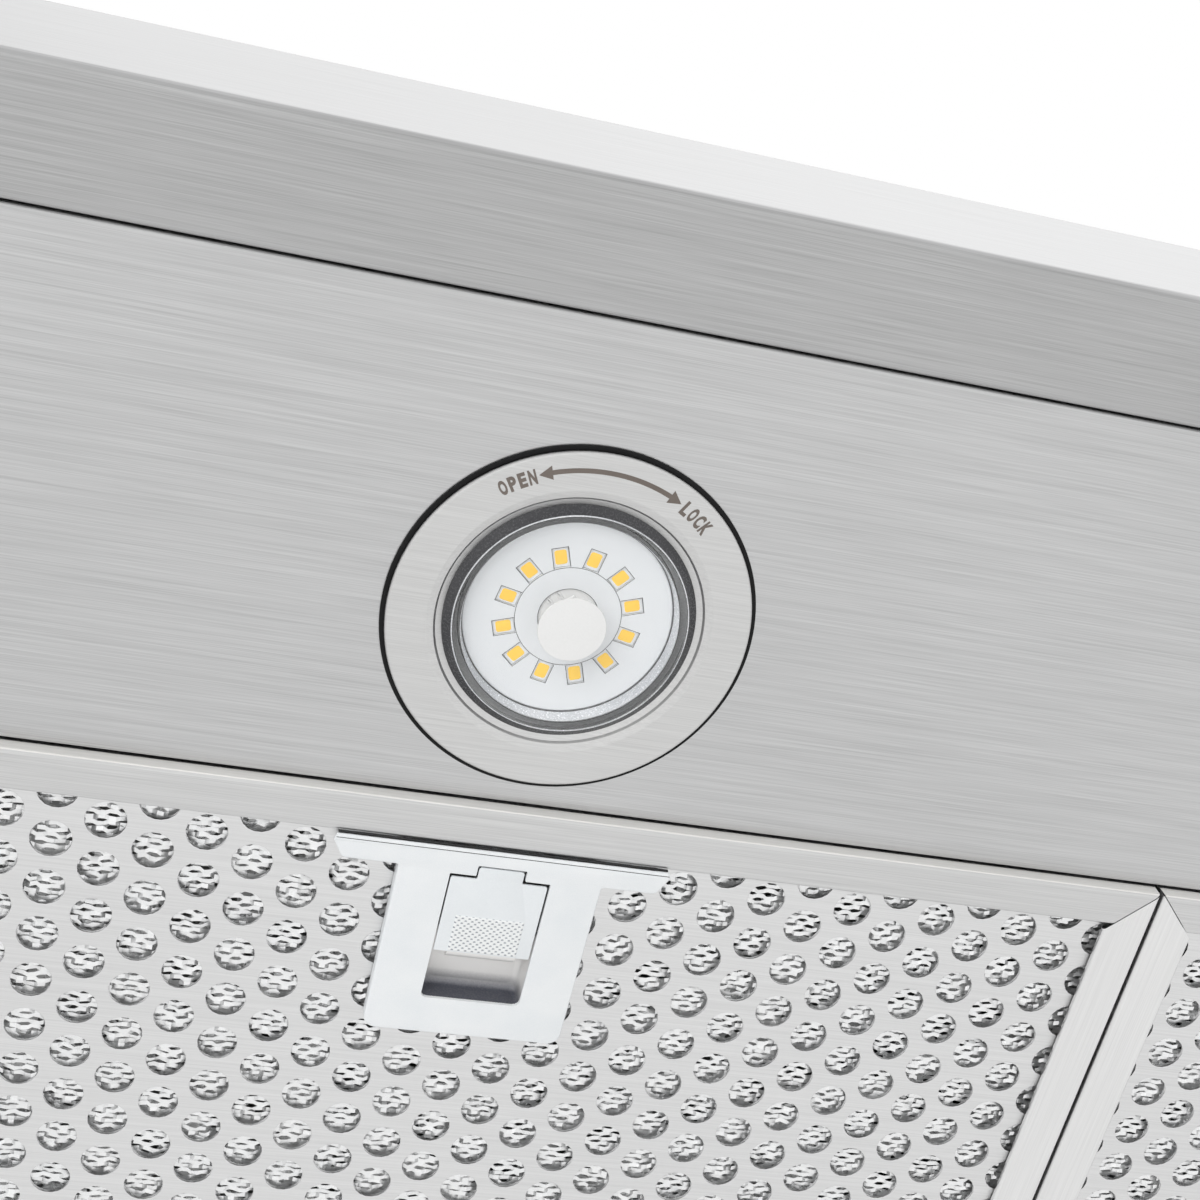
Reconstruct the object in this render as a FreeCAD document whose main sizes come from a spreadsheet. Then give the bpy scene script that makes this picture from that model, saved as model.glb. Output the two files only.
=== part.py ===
import FreeCAD, Part
import math
import os
import re
import Sketcher

doc = FreeCAD.newDocument("RangeHood")
dims = doc.addObject("Spreadsheet::Sheet", "Dims")

NEARLY_ZERO = 1e-9

# Driving dimensions in millimetres: x runs along the wall, y towards the wall, z up.
# The wall is the plane y = 0 and the underside of the bottom rim is z = 0.
SIZES = {
    # canopy
    "hood_width": 900, "hood_depth": 500, "band_height": 51, "skin": 0.8, "rim_width": 24,
    "rim_upturn": 3.2, "band_flange": 12, "canopy_height": 199, "back_thickness": 1.2, "canopy_wall": 1.2,
    "wall_hole_radius": 4, "wall_hole_span": 580, "wall_hole_rise": 100, "wall_hole_row": 40,
    # chimney
    "chimney_width": 300, "chimney_depth": 270, "chimney_height": 420, "chimney_return": 22,
    "chimney_play": 0.5, "chimney_step": 20, "bracket_height": 30, "bracket_thickness": 1.2,
    # clearances
    "seat_play": 0.3, "running_play": 0.05, "overrun": 2,
    # lamp panel
    "panel_depth": 100, "panel_rise": 3.5, "panel_gap": 1, "panel_overlap": 14, "panel_flange": 14,
    "notch_width": 22,
    # lamps
    "lamp_inset": 1.8, "lamp_setback": 84.7, "lamp_hole_play": 3, "bezel_radius": 35,
    "bezel_proud": 1.5, "bezel_skin": 0.8, "bezel_edge": 0.7, "draw_width": 2.3, "throat_radius": 24.2,
    "throat_rise": 2.2, "lens_lip": 1.2, "tube_height": 9.8, "lug_reach": 1.8, "lug_width": 6,
    "lug_thickness": 1.5, "lug_count": 3, "gasket_reach": 0.9, "gasket_setback": 1, "stop_width": 8,
    "lens_thickness": 0.9, "lens_wall": 1.5, "dome_step": 1.5, "dome_drop": 4.8, "dome_rim": 2.9,
    "seal_width": 3.3, "seal_height": 2, "reflector_inset": 3.9, "reflector_skin": 0.5,
    "reflector_rise": 1.2, "led_count": 12, "led_turn": 10.9, "led_circle": 12.4, "window_length": 4.4,
    "window_width": 3.4, "led_length": 3.5, "led_width": 2.8, "led_height": 0.7, "board_thickness": 1.2,
    "eye_radius": 5.75, "can_room": 5, "can_wall": 1, "can_height": 36, "can_rim": 3,
    "post_radius": 15.5, "post_wall": 1.5,
    # grease filters
    "filter_count": 3, "filter_side_gap": 0.4, "filter_spacing": 0.8, "filter_gap": 0.6,
    "filter_rear_gap": 1.2, "strip_width": 10, "strip_thickness": 1.5, "frame_wall": 0.8,
    "face_thickness": 0.6, "mesh_height": 6, "mesh_layers": 6, "mesh_sheet": 0.2, "hole_diameter": 8,
    "hole_pitch": 11, "hole_start": 13.8, "hole_shift": -0.7, "back_hole_diameter": 16,
    "back_hole_pitch": 22, "tab_width": 20, "tab_reach": 8, "tab_spread": 90,
    # filter latches, lengths counted from the front of the filter
    "latch_proud": 3.2, "latch_skin": 0.8, "bar_width": 68.2, "bar_front": 7.8, "bar_rear": 13.2,
    "latch_width": 41.3, "latch_rear": 53.2, "window_span": 20.5, "window_front": 14.4,
    "window_rear": 44.5, "neck_span": 10, "neck_front": 12, "slide_play": 0.4, "slider_rear": 33,
    "grip_width": 14.1, "grip_rise": 2.2, "cup_depth": 5.5, "riser_front": 16.5,
    "tongue_width": 14, "tongue_rise": 4.8, "tongue_thickness": 1.2, "slider_travel": 8,
    "window_relief": 0.2,
    # push buttons
    "button_count": 5, "button_pitch": 28, "button_radius": 7, "button_proud": 2.5, "button_travel": 2.5,
    "button_play": 0.2, "cap_sunk": 3, "stem_radius": 3, "ring_width": 2, "ring_wall": 0.8,
    "ring_proud": 0.8, "board_setback": 16, "switch_size": 9, "standoff": 8, "control_board_height": 30,
    "control_board_width": 150,
    # blower
    "scroll_radius": 82, "scroll_width": 130, "scroll_wall": 1.2, "scroll_rise": 160, "scroll_back": 135,
    "outlet_inset": 46, "inlet_radius": 58, "wheel_radius": 66, "wheel_width": 112, "blade_count": 24,
    "blade_depth": 11, "blade_thickness": 1.2, "wheel_ring": 3, "hub_radius": 12, "hub_length": 26,
    "disc_thickness": 1.5, "shaft_radius": 4, "shaft_length": 40, "motor_radius": 38, "motor_start": 16,
    "bracket_arm": 14, "arm_thickness": 2, "arm_overlap": 10,
    # outlet and damper
    "collar_radius": 75, "collar_wall": 1, "collar_height": 60, "collar_rim": 23, "ledge_width": 2,
    "damper_rise": 34, "pin_radius": 1.5, "knuckle_radius": 3, "knuckle_length": 18, "knuckle_near": 6,
    "knuckle_far": 42, "flap_thickness": 1, "screw_radius": 4, "screw_height": 2.2, "screw_reach": 16,
    "screw_inset": 13,
    # supply fittings
    "control_box_width": 110, "control_box_height": 60, "control_box_depth": 42, "control_box_reach": 150,
    "control_box_rise": 56, "gland_radius": 10, "gland_stem": 7.5, "gland_drop": 10, "gland_height": 16,
    "gland_bore": 4.5, "gland_reach": 110, "gland_back": 45,
}

for row, (alias, value) in enumerate(SIZES.items(), 1):
    dims.set(f"A{row}", alias)
    dims.set(f"B{row}", str(value))
    dims.setAlias(f"B{row}", alias)
doc.recompute()

# Places worked out from the driving dimensions.
PLACES = {
    "half_width": "hood_width / 2",
    "front": "0 - hood_depth",
    "rim_front": "front + rim_width",
    "opening_half": "half_width - rim_width",
    "canopy_top": "band_height + canopy_height",
    "deck_top": "canopy_top + back_thickness",
    "chimney_half": "chimney_width / 2",
    "inner_half": "chimney_half - skin - chimney_play",
    "inner_depth": "chimney_depth - skin - chimney_play",
    "panel_front": "rim_front + panel_gap",
    "panel_rear": "panel_front + panel_depth",
    "panel_top": "panel_rise + skin",
    "panel_half": "opening_half + panel_overlap",
    "lamp_y": "front + lamp_setback",
    "bezel_face": "panel_rise - bezel_proud",
    "bezel_back": "bezel_face + bezel_skin",
    "tube_foot": "bezel_face + throat_rise",
    "tube_top": "tube_foot + tube_height",
    "tube_radius": "throat_radius + bezel_skin",
    "draw_radius": "throat_radius + draw_width",
    "lamp_hole_radius": "tube_radius + lamp_hole_play",
    "gasket_bore": "lamp_hole_radius + gasket_setback",
    "gasket_radius": "bezel_radius + gasket_reach",
    "dome_radius": "lens_radius - dome_step",
    "dome_ball": "(dome_radius * dome_radius + dome_drop * dome_drop) / (2 * dome_drop)",
    "dome_middle": "lens_foot - dome_drop + dome_ball",
    "reflector_radius": "throat_radius - reflector_inset",
    "can_radius": "tube_radius + can_room",
    "can_flange": "can_radius + can_rim",
    "lens_foot": "tube_foot + bezel_skin",
    "lens_top": "lens_foot + lens_thickness",
    "lens_radius": "throat_radius - seat_play",
    "reflector_foot": "lens_foot + reflector_rise",
    "led_foot": "reflector_foot + reflector_skin + seat_play",
    "board_foot": "led_foot + led_height",
    "board_top": "board_foot + board_thickness",
    "lug_foot": "tube_top - lug_thickness",
    "can_top": "panel_top + can_height",
    "filter_front": "panel_rear + filter_gap",
    "filter_rear": "0 - rim_width - filter_rear_gap",
    "filter_length": "filter_rear - filter_front",
    "filter_room": "2 * opening_half - 2 * filter_side_gap - (filter_count - 1) * filter_spacing",
    "filter_width": "filter_room / filter_count",
    "filter_pitch": "filter_width + filter_spacing",
    "lamp_reach": "(filter_count - 1) / 2 * filter_pitch - lamp_inset",
    "face_foot": "strip_thickness + seat_play",
    "face_top": "face_foot + face_thickness",
    "mesh_foot": "face_top + seat_play",
    "mesh_top": "mesh_foot + mesh_height",
    "rear_plate_foot": "mesh_top + seat_play",
    "rear_plate_top": "rear_plate_foot + face_thickness",
    "flange_foot": "rear_plate_top + seat_play",
    "filter_top": "flange_foot + frame_wall",
    "plate_inset": "frame_wall + seat_play",
    "latch_face": "face_foot - latch_proud",
    "latch_back": "latch_face + latch_skin",
    "cup_top": "latch_face + cup_depth",
    "cup_front": "riser_front + 2 * latch_skin + slider_travel + 2 * seat_play",
    "cutout_half": "window_span / 2 + latch_skin + seat_play",
    "cutout_front": "riser_front - 2 * seat_play",
    "cutout_rear": "window_rear + latch_skin + seat_play",
    "band_middle": "band_height / 2",
    "board_front": "front + board_setback",
    "switch_front": "board_front - switch_size",
    "damper_axis": "deck_top + damper_rise",
    "flap_half": "flap_thickness / 2",
    "collar_bore": "collar_radius - collar_wall",
    "duct_y": "0 - scroll_back",
    "outlet_width": "2 * collar_radius - outlet_inset",
    "collar_flange": "collar_radius + collar_rim",
    "screw_circle": "collar_radius + screw_reach",
    "flap_radius": "collar_bore - 2 * seat_play",
    "scroll_half": "scroll_width / 2",
}


def expand(text):
    """Write a size or place name out as an expression on the sheet of dimensions."""
    def word(match):
        name = match.group(0)
        if name in PLACES:
            return "(" + expand(PLACES[name]) + ")"
        return "Dims." + name if name in SIZES else name
    return re.sub(r"[a-z_]+", word, str(text))


def number(text):
    return float(dims.evalExpression(expand(text)))


def bind(thing, prop, text):
    thing.setExpression(prop, expand(text))


def place(thing, base):
    for axis, text in zip("xyz", base):
        bind(thing, "Placement.Base." + axis, text)
    return thing


def box(name, x, y, z):
    """Block between a low and a high value along each axis."""
    block = doc.addObject("Part::Box", name)
    for prop, (low, high) in zip(("Length", "Width", "Height"), (x, y, z)):
        bind(block, prop, f"({high}) - ({low})")
    return place(block, [low for low, high in (x, y, z)])


TURNS = {
    "x": FreeCAD.Rotation(FreeCAD.Vector(0, 1, 0), 90),
    "y": FreeCAD.Rotation(FreeCAD.Vector(1, 0, 0), -90),
    "z": FreeCAD.Rotation(),
}


def rod(name, base, radius, length, along="z"):
    cylinder = doc.addObject("Part::Cylinder", name)
    bind(cylinder, "Radius", radius)
    bind(cylinder, "Height", length)
    cylinder.Placement.Rotation = TURNS[along]
    return place(cylinder, base)


def ball(name, centre, radius):
    sphere = doc.addObject("Part::Sphere", name)
    bind(sphere, "Radius", radius)
    return place(sphere, centre)


def spoke(name, centre, inner, outer, width, z, angle):
    """Block that points away from a vertical axis at the given angle in degrees."""
    block = doc.addObject("Part::Box", name)
    bind(block, "Length", f"({outer}) - ({inner})")
    bind(block, "Width", width)
    bind(block, "Height", f"({z[1]}) - ({z[0]})")
    block.Placement.Rotation = FreeCAD.Rotation(FreeCAD.Vector(0, 0, 1), angle)
    cosine, sine = f"cos({angle} deg)", f"sin({angle} deg)"
    side = f"({width}) / 2"
    x = f"{centre[0]} + ({inner}) * {cosine} + {side} * {sine}"
    y = f"{centre[1]} + ({inner}) * {sine} - {side} * {cosine}"
    return place(block, (x, y, z[0]))


def fuse(name, *pieces):
    union = doc.addObject("Part::MultiFuse", name)
    union.Shapes = list(pieces)
    return union


def group(name, *pieces):
    """Separate solids kept together in one node."""
    bundle = doc.addObject("Part::Compound", name)
    bundle.Links = list(pieces)
    return bundle


def cut(name, base, *tools):
    result = doc.addObject("Part::Cut", name)
    result.Base = base
    result.Tool = tools[0] if len(tools) == 1 else group(name + "_tools", *tools)
    return result


def profile(body, plane, points):
    """Closed outline of straight runs, each corner bound to the sheet."""
    sketch = body.newObject("Sketcher::SketchObject", body.Name + "_outline")
    origin = [item for item in body.Origin.OriginFeatures if item.Role == plane]
    sketch.AttachmentSupport = [(origin[0], "")]
    sketch.MapMode = "FlatFace"
    corners = [FreeCAD.Vector(number(a), number(b), 0) for a, b in points]
    for start, end in zip(corners, corners[1:] + corners[:1]):
        sketch.addGeometry(Part.LineSegment(start, end))
    for i, (texts, corner) in enumerate(zip(points, corners)):
        sketch.addConstraint(Sketcher.Constraint("Coincident", i - 1 if i else len(points) - 1, 2, i, 1))
        axes = (("DistanceX", -2, texts[0], corner.x), ("DistanceY", -1, texts[1], corner.y))
        for kind, axis, text, value in axes:
            if abs(value) < NEARLY_ZERO:
                sketch.addConstraint(Sketcher.Constraint("PointOnObject", i, 1, axis))
            else:
                row = sketch.addConstraint(Sketcher.Constraint(kind, -1, 1, i, 1, value))
                bind(sketch, f"Constraints[{row}]", text)
    return sketch


def turned(name, points, centre=("0", "0", "0")):
    """Round piece: an outline of radius and height, turned about a vertical axis."""
    body = doc.addObject("PartDesign::Body", name)
    sketch = profile(body, "XZ_Plane", points)
    spin = body.newObject("PartDesign::Revolution", name + "_turn")
    spin.Profile = sketch
    spin.ReferenceAxis = (sketch, ["V_Axis"])
    spin.Angle = 360
    sketch.Visibility = False
    return place(body, centre)


nodes = []


def node(name, thing):
    thing.Label = name
    nodes.append(thing)
    return thing


def sides(half, centre="0"):
    """Low and high values an equal way either side of a centre."""
    return f"({centre}) - ({half})", f"({centre}) + ({half})"


def tapered(name, z, foot, head):
    """Pyramid block: half width, front and rear at the foot and at the head."""
    wedge = doc.addObject("Part::Wedge", name)
    wedge.Placement.Rotation = FreeCAD.Rotation(FreeCAD.Vector(1, 0, 0), 90)
    bind(wedge, "Ymin", z[0])
    bind(wedge, "Ymax", z[1])
    for mark, (half, near, far) in (("", foot), ("2", head)):
        bind(wedge, f"X{mark}min", f"0 - ({half})")
        bind(wedge, f"X{mark}max", half)
        bind(wedge, f"Z{mark}min", f"0 - ({far})")
        bind(wedge, f"Z{mark}max", f"0 - ({near})")
    return wedge


def button_places():
    count = int(number("button_count"))
    return [f"{i} * button_pitch - (button_count - 1) / 2 * button_pitch" for i in range(count)]


def filter_places():
    count = int(number("filter_count"))
    return [f"({i} - (filter_count - 1) / 2) * filter_pitch" for i in range(count)]


def skirt_band():
    outside = box("band_outside", sides("half_width"), ("front", "0"), ("0", "band_height"))
    inside = box("band_inside", sides("half_width - skin"), ("front + skin", "0 - skin"),
                 ("skin", "band_height - skin"))
    upturn = box("rim_upturn_block", sides("opening_half + skin"), ("rim_front - skin", "skin - rim_width"),
                 ("0", "rim_upturn"))
    mouth = box("rim_mouth", sides("opening_half"), ("rim_front", "0 - rim_width"),
                ("0 - overrun", "rim_upturn + overrun"))
    top = box("band_top_opening", sides("half_width - band_flange"),
              ("front + band_flange", "0 - band_flange"), ("band_height - overrun", "band_height + overrun"))
    holes = [rod(f"button_hole_{i}", (x, "front - overrun", "band_middle"),
                 "button_radius + button_play + ring_wall + seat_play", "2 * overrun + skin", "y")
             for i, x in enumerate(button_places())]
    shell = cut("band_shell", outside, inside)
    node("skirt_band", cut("skirt_band", fuse("band_with_upturn", shell, upturn), mouth, top, *holes))


def canopy():
    level = ("band_height", "canopy_top")
    outside = tapered("canopy_outside", level, ("half_width", "front", "0"),
                      ("chimney_half", "0 - chimney_depth", "0"))
    inside = tapered("canopy_inside", level, ("half_width - canopy_wall", "front + canopy_wall", "overrun"),
                     ("chimney_half - canopy_wall", "canopy_wall - chimney_depth", "overrun"))
    node("canopy_hood", cut("canopy_hood", outside, inside))
    inset = "canopy_wall - seat_play"
    sheet = tapered("back_sheet", level, (f"half_width - {inset} - 2 * seat_play", "0 - back_thickness", "0"),
                    (f"chimney_half - {inset} - 2 * seat_play", "0 - back_thickness", "0"))
    holes = [rod(f"wall_hole_{i}{j}", (f"{i} * wall_hole_span / 2", "0 - back_thickness - overrun",
                                       f"wall_hole_rise + {j} * wall_hole_row / 2"),
                 "wall_hole_radius", "back_thickness + 2 * overrun", "y") for i in (-1, 1) for j in (-1, 1)]
    node("back_panel", cut("back_panel", sheet, *holes))


def deck():
    plate = box("deck_sheet", sides("chimney_half"), ("0 - chimney_depth", "0"), ("canopy_top", "deck_top"))
    foot = "canopy_top - overrun"
    duct = rod("deck_duct_hole", ("0", "duct_y", foot), "collar_bore", "back_thickness + 2 * overrun")
    gland = rod("deck_gland_hole", ("gland_reach", "0 - gland_back", foot), "gland_stem + seat_play",
                "back_thickness + 2 * overrun")
    node("top_plate", cut("top_plate", plate, duct, gland))
    node("cable_gland", turned("cable_gland", [
        ("gland_bore", "0 - gland_drop"), ("gland_stem", "0 - gland_drop"), ("gland_stem", "0"),
        ("gland_radius", "0"), ("gland_radius", "gland_height / 2"), ("gland_stem", "gland_height"),
        ("gland_bore", "gland_height")], ("gland_reach", "0 - gland_back", "deck_top")))


def chimney():
    top = "deck_top + chimney_height"
    outside = box("lower_outside", sides("chimney_half"), ("0 - chimney_depth", "0"), ("deck_top", top))
    inside = box("lower_inside", sides("chimney_half - skin"), ("skin - chimney_depth", "0 - skin"),
                 ("deck_top - overrun", f"{top} + overrun"))
    rear = box("lower_rear_opening", sides("chimney_half - chimney_return"), ("0 - overrun", "overrun"),
               ("deck_top - overrun", f"{top} + overrun"))
    node("lower_chimney", cut("lower_chimney", outside, inside, rear))
    foot, head = "deck_top + chimney_step", f"{top} + chimney_step"
    back = "0 - skin - chimney_play"
    outside = box("upper_outside", sides("inner_half"), ("0 - inner_depth", back), (foot, head))
    inside = box("upper_inside", sides("inner_half - skin"), ("skin - inner_depth", f"{back} - skin"),
                 (f"{foot} - overrun", f"{head} + overrun"))
    rear = box("upper_rear_opening", sides("inner_half - chimney_return"),
               (f"{back} - skin - overrun", f"{back} + overrun"), (f"{foot} - overrun", f"{head} + overrun"))
    node("upper_chimney", cut("upper_chimney", outside, inside, rear))
    node("chimney_bracket", box("chimney_bracket", sides("inner_half - skin - seat_play"),
                                (f"{back} - skin - bracket_thickness", f"{back} - skin"),
                                (f"{head} - bracket_height", head)))


def lamp_panel():
    sheet = box("panel_sheet", sides("panel_half"), ("panel_front", "panel_rear"),
                ("panel_rise", "panel_top"))
    flange = ("panel_rise", "panel_rise + panel_flange")
    near = box("panel_front_flange", sides("panel_half"), ("panel_front", "panel_front + skin"), flange)
    far = box("panel_rear_flange", sides("panel_half"), ("panel_rear - skin", "panel_rear"), flange)
    notches = [box(f"panel_notch_{i}", sides("notch_width / 2", x), sides("overrun", "panel_rear"),
                   ("panel_top", "panel_rise + panel_flange + overrun"))
               for i, x in enumerate(filter_places())]
    holes = [rod(f"lamp_hole_{i}", (f"{i} * lamp_reach", "lamp_y", "panel_rise - overrun"),
                 "lamp_hole_radius", "skin + 2 * overrun") for i in (-1, 1)]
    node("lamp_panel", cut("lamp_panel", fuse("panel_folds", sheet, near, far), *notches, *holes))


def lamp(side, sign):
    x = f"{sign} * lamp_reach"
    axis = (x, "lamp_y", "0")
    angles = [i * 360 / number("lug_count") for i in range(int(number("lug_count")))]
    ring = turned(f"bezel_ring_{side}", [
        ("bezel_radius", "bezel_back"), ("bezel_radius", "bezel_face + bezel_edge"),
        ("bezel_radius - bezel_edge", "bezel_face"), ("draw_radius", "bezel_face"),
        ("throat_radius", "tube_foot"), ("throat_radius - lens_lip", "tube_foot"),
        ("throat_radius - lens_lip", "lens_foot"), ("throat_radius", "lens_foot"),
        ("throat_radius", "tube_top"), ("tube_radius", "tube_top"), ("tube_radius", "tube_foot"),
        ("draw_radius + bezel_skin / 2", "bezel_back")], axis)
    lugs = [spoke(f"bezel_lug_{side}_{i}", axis, "throat_radius + bezel_skin / 2", "tube_radius + lug_reach",
                  "lug_width", ("lug_foot", "tube_top"), angle) for i, angle in enumerate(angles)]
    node(f"lamp_bezel_{side}", fuse(f"lamp_bezel_{side}", ring, *lugs))
    # the lens is a hollow dome on a flat rim that rests on the lip of the bezel
    middle = (x, "lamp_y", "dome_middle")
    above = box(f"dome_above_{side}", sides("2 * dome_ball", x), sides("2 * dome_ball", "lamp_y"),
                ("lens_foot + seat_play", "dome_middle + dome_ball + overrun"))
    dome = cut(f"lens_dome_{side}", ball(f"dome_outside_{side}", middle, "dome_ball"),
               ball(f"dome_inside_{side}", middle, "dome_ball - lens_wall"), above)
    rim = turned(f"lens_rim_{side}", [
        ("lens_radius - dome_rim", "lens_foot"), ("lens_radius", "lens_foot"), ("lens_radius", "lens_top"),
        ("lens_radius - dome_rim", "lens_top")], axis)
    node(f"lamp_lens_{side}", fuse(f"lamp_lens_{side}", dome, rim))
    node(f"lens_seal_{side}", turned(f"lens_seal_{side}", [
        ("lens_radius - seal_width", "lens_top"), ("lens_radius", "lens_top"),
        ("lens_radius", "lens_top + seal_height"),
        ("lens_radius - seal_width", "lens_top + seal_height")], axis))
    node(f"lamp_gasket_{side}", turned(f"lamp_gasket_{side}", [
        ("gasket_bore", "bezel_back + seat_play"), ("gasket_radius", "bezel_back + seat_play"),
        ("gasket_radius", "panel_rise"), ("gasket_bore", "panel_rise")], axis))

    count = int(number("led_count"))
    leds = [number("led_turn") + i * 360 / count for i in range(count)]
    dish = turned(f"reflector_dish_{side}", [
        ("eye_radius", "reflector_foot"), ("reflector_radius", "reflector_foot"),
        ("reflector_radius", "board_foot"), ("reflector_radius - reflector_skin", "board_foot"),
        ("reflector_radius - reflector_skin", "reflector_foot + reflector_skin"),
        ("eye_radius", "reflector_foot + reflector_skin")], axis)
    windows = [spoke(f"led_window_{side}_{i}", axis, "led_circle - window_length / 2",
                     "led_circle + window_length / 2", "window_width",
                     ("reflector_foot - overrun", "reflector_foot + reflector_skin + seat_play / 2"), angle)
               for i, angle in enumerate(leds)]
    node(f"lamp_reflector_{side}", cut(f"lamp_reflector_{side}", dish, *windows))
    node(f"lamp_leds_{side}", group(f"lamp_leds_{side}", *[
        spoke(f"led_{side}_{i}", axis, "led_circle - led_length / 2", "led_circle + led_length / 2",
              "led_width", ("led_foot", "board_foot"), angle) for i, angle in enumerate(leds)]))
    node(f"led_board_{side}", turned(f"led_board_{side}", [
        ("eye_radius", "board_foot"), ("reflector_radius", "board_foot"), ("reflector_radius", "board_top"),
        ("eye_radius", "board_top")], axis))

    post_bore = "post_radius - post_wall"
    roof = "can_top - can_wall"
    cup = turned(f"can_cup_{side}", [
        ("can_radius - can_wall", "panel_top"), ("can_flange", "panel_top"),
        ("can_flange", "panel_top + can_wall"), ("can_radius", "panel_top + can_wall"),
        ("can_radius", "can_top"), ("0", "can_top"), ("0", roof), (post_bore, roof), (post_bore, "board_top"),
        ("post_radius", "board_top"), ("post_radius", roof), ("can_radius - can_wall", roof)], axis)
    stops = [spoke(f"can_stop_{side}_{i}", axis, "tube_radius + seat_play", "can_radius - can_wall / 2",
                   "stop_width", ("lug_foot - seat_play - bezel_skin", "lug_foot - seat_play"), angle)
             for i, angle in enumerate(angles)]
    node(f"lamp_can_{side}", fuse(f"lamp_can_{side}", cup, *stops))


def perforated(name, x, foot, diameter, pitch, start, shift, cutout):
    """Thin plate with a staggered field of round holes and one square cutout for the latch."""
    half = number("filter_width / 2 - plate_inset")
    near, far = number("plate_inset"), number("filter_length - plate_inset")
    edge = diameter / 2 + number("face_thickness")
    cut_half, cut_near, cut_far = (number(size) for size in cutout)
    origin = FreeCAD.Vector(number(x), number("filter_front"), number(foot))

    def corners(left, right, low, high):
        points = [(left, low), (right, low), (right, high), (left, high), (left, low)]
        return Part.makePolygon([origin + FreeCAD.Vector(a, b, 0) for a, b in points])

    wires = [corners(-half, half, near, far), corners(-cut_half, cut_half, cut_near, cut_far)]
    column_step = pitch * math.sqrt(3) / 2
    columns = int(half / column_step)
    rows = int(far / pitch) + 1
    for column in range(-columns, columns + 1):
        across = shift + column * column_step
        for row in range(-1, rows + 1):
            along = start + pitch * (row - 0.5 * (column % 2))
            inside = abs(across) < half - edge and near + edge < along < far - edge
            spared = abs(across) < cut_half + edge and cut_near - edge < along < cut_far + edge
            if inside and not spared:
                centre = origin + FreeCAD.Vector(across, along, 0)
                wires.append(Part.Wire(Part.makeCircle(diameter / 2, centre)))
    for hole in wires[1:]:
        hole.reverse()
    sheet = doc.addObject("Part::Feature", name)
    sheet.Shape = Part.Face(wires).extrude(FreeCAD.Vector(0, 0, number("face_thickness")))
    return node(name, sheet)


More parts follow.
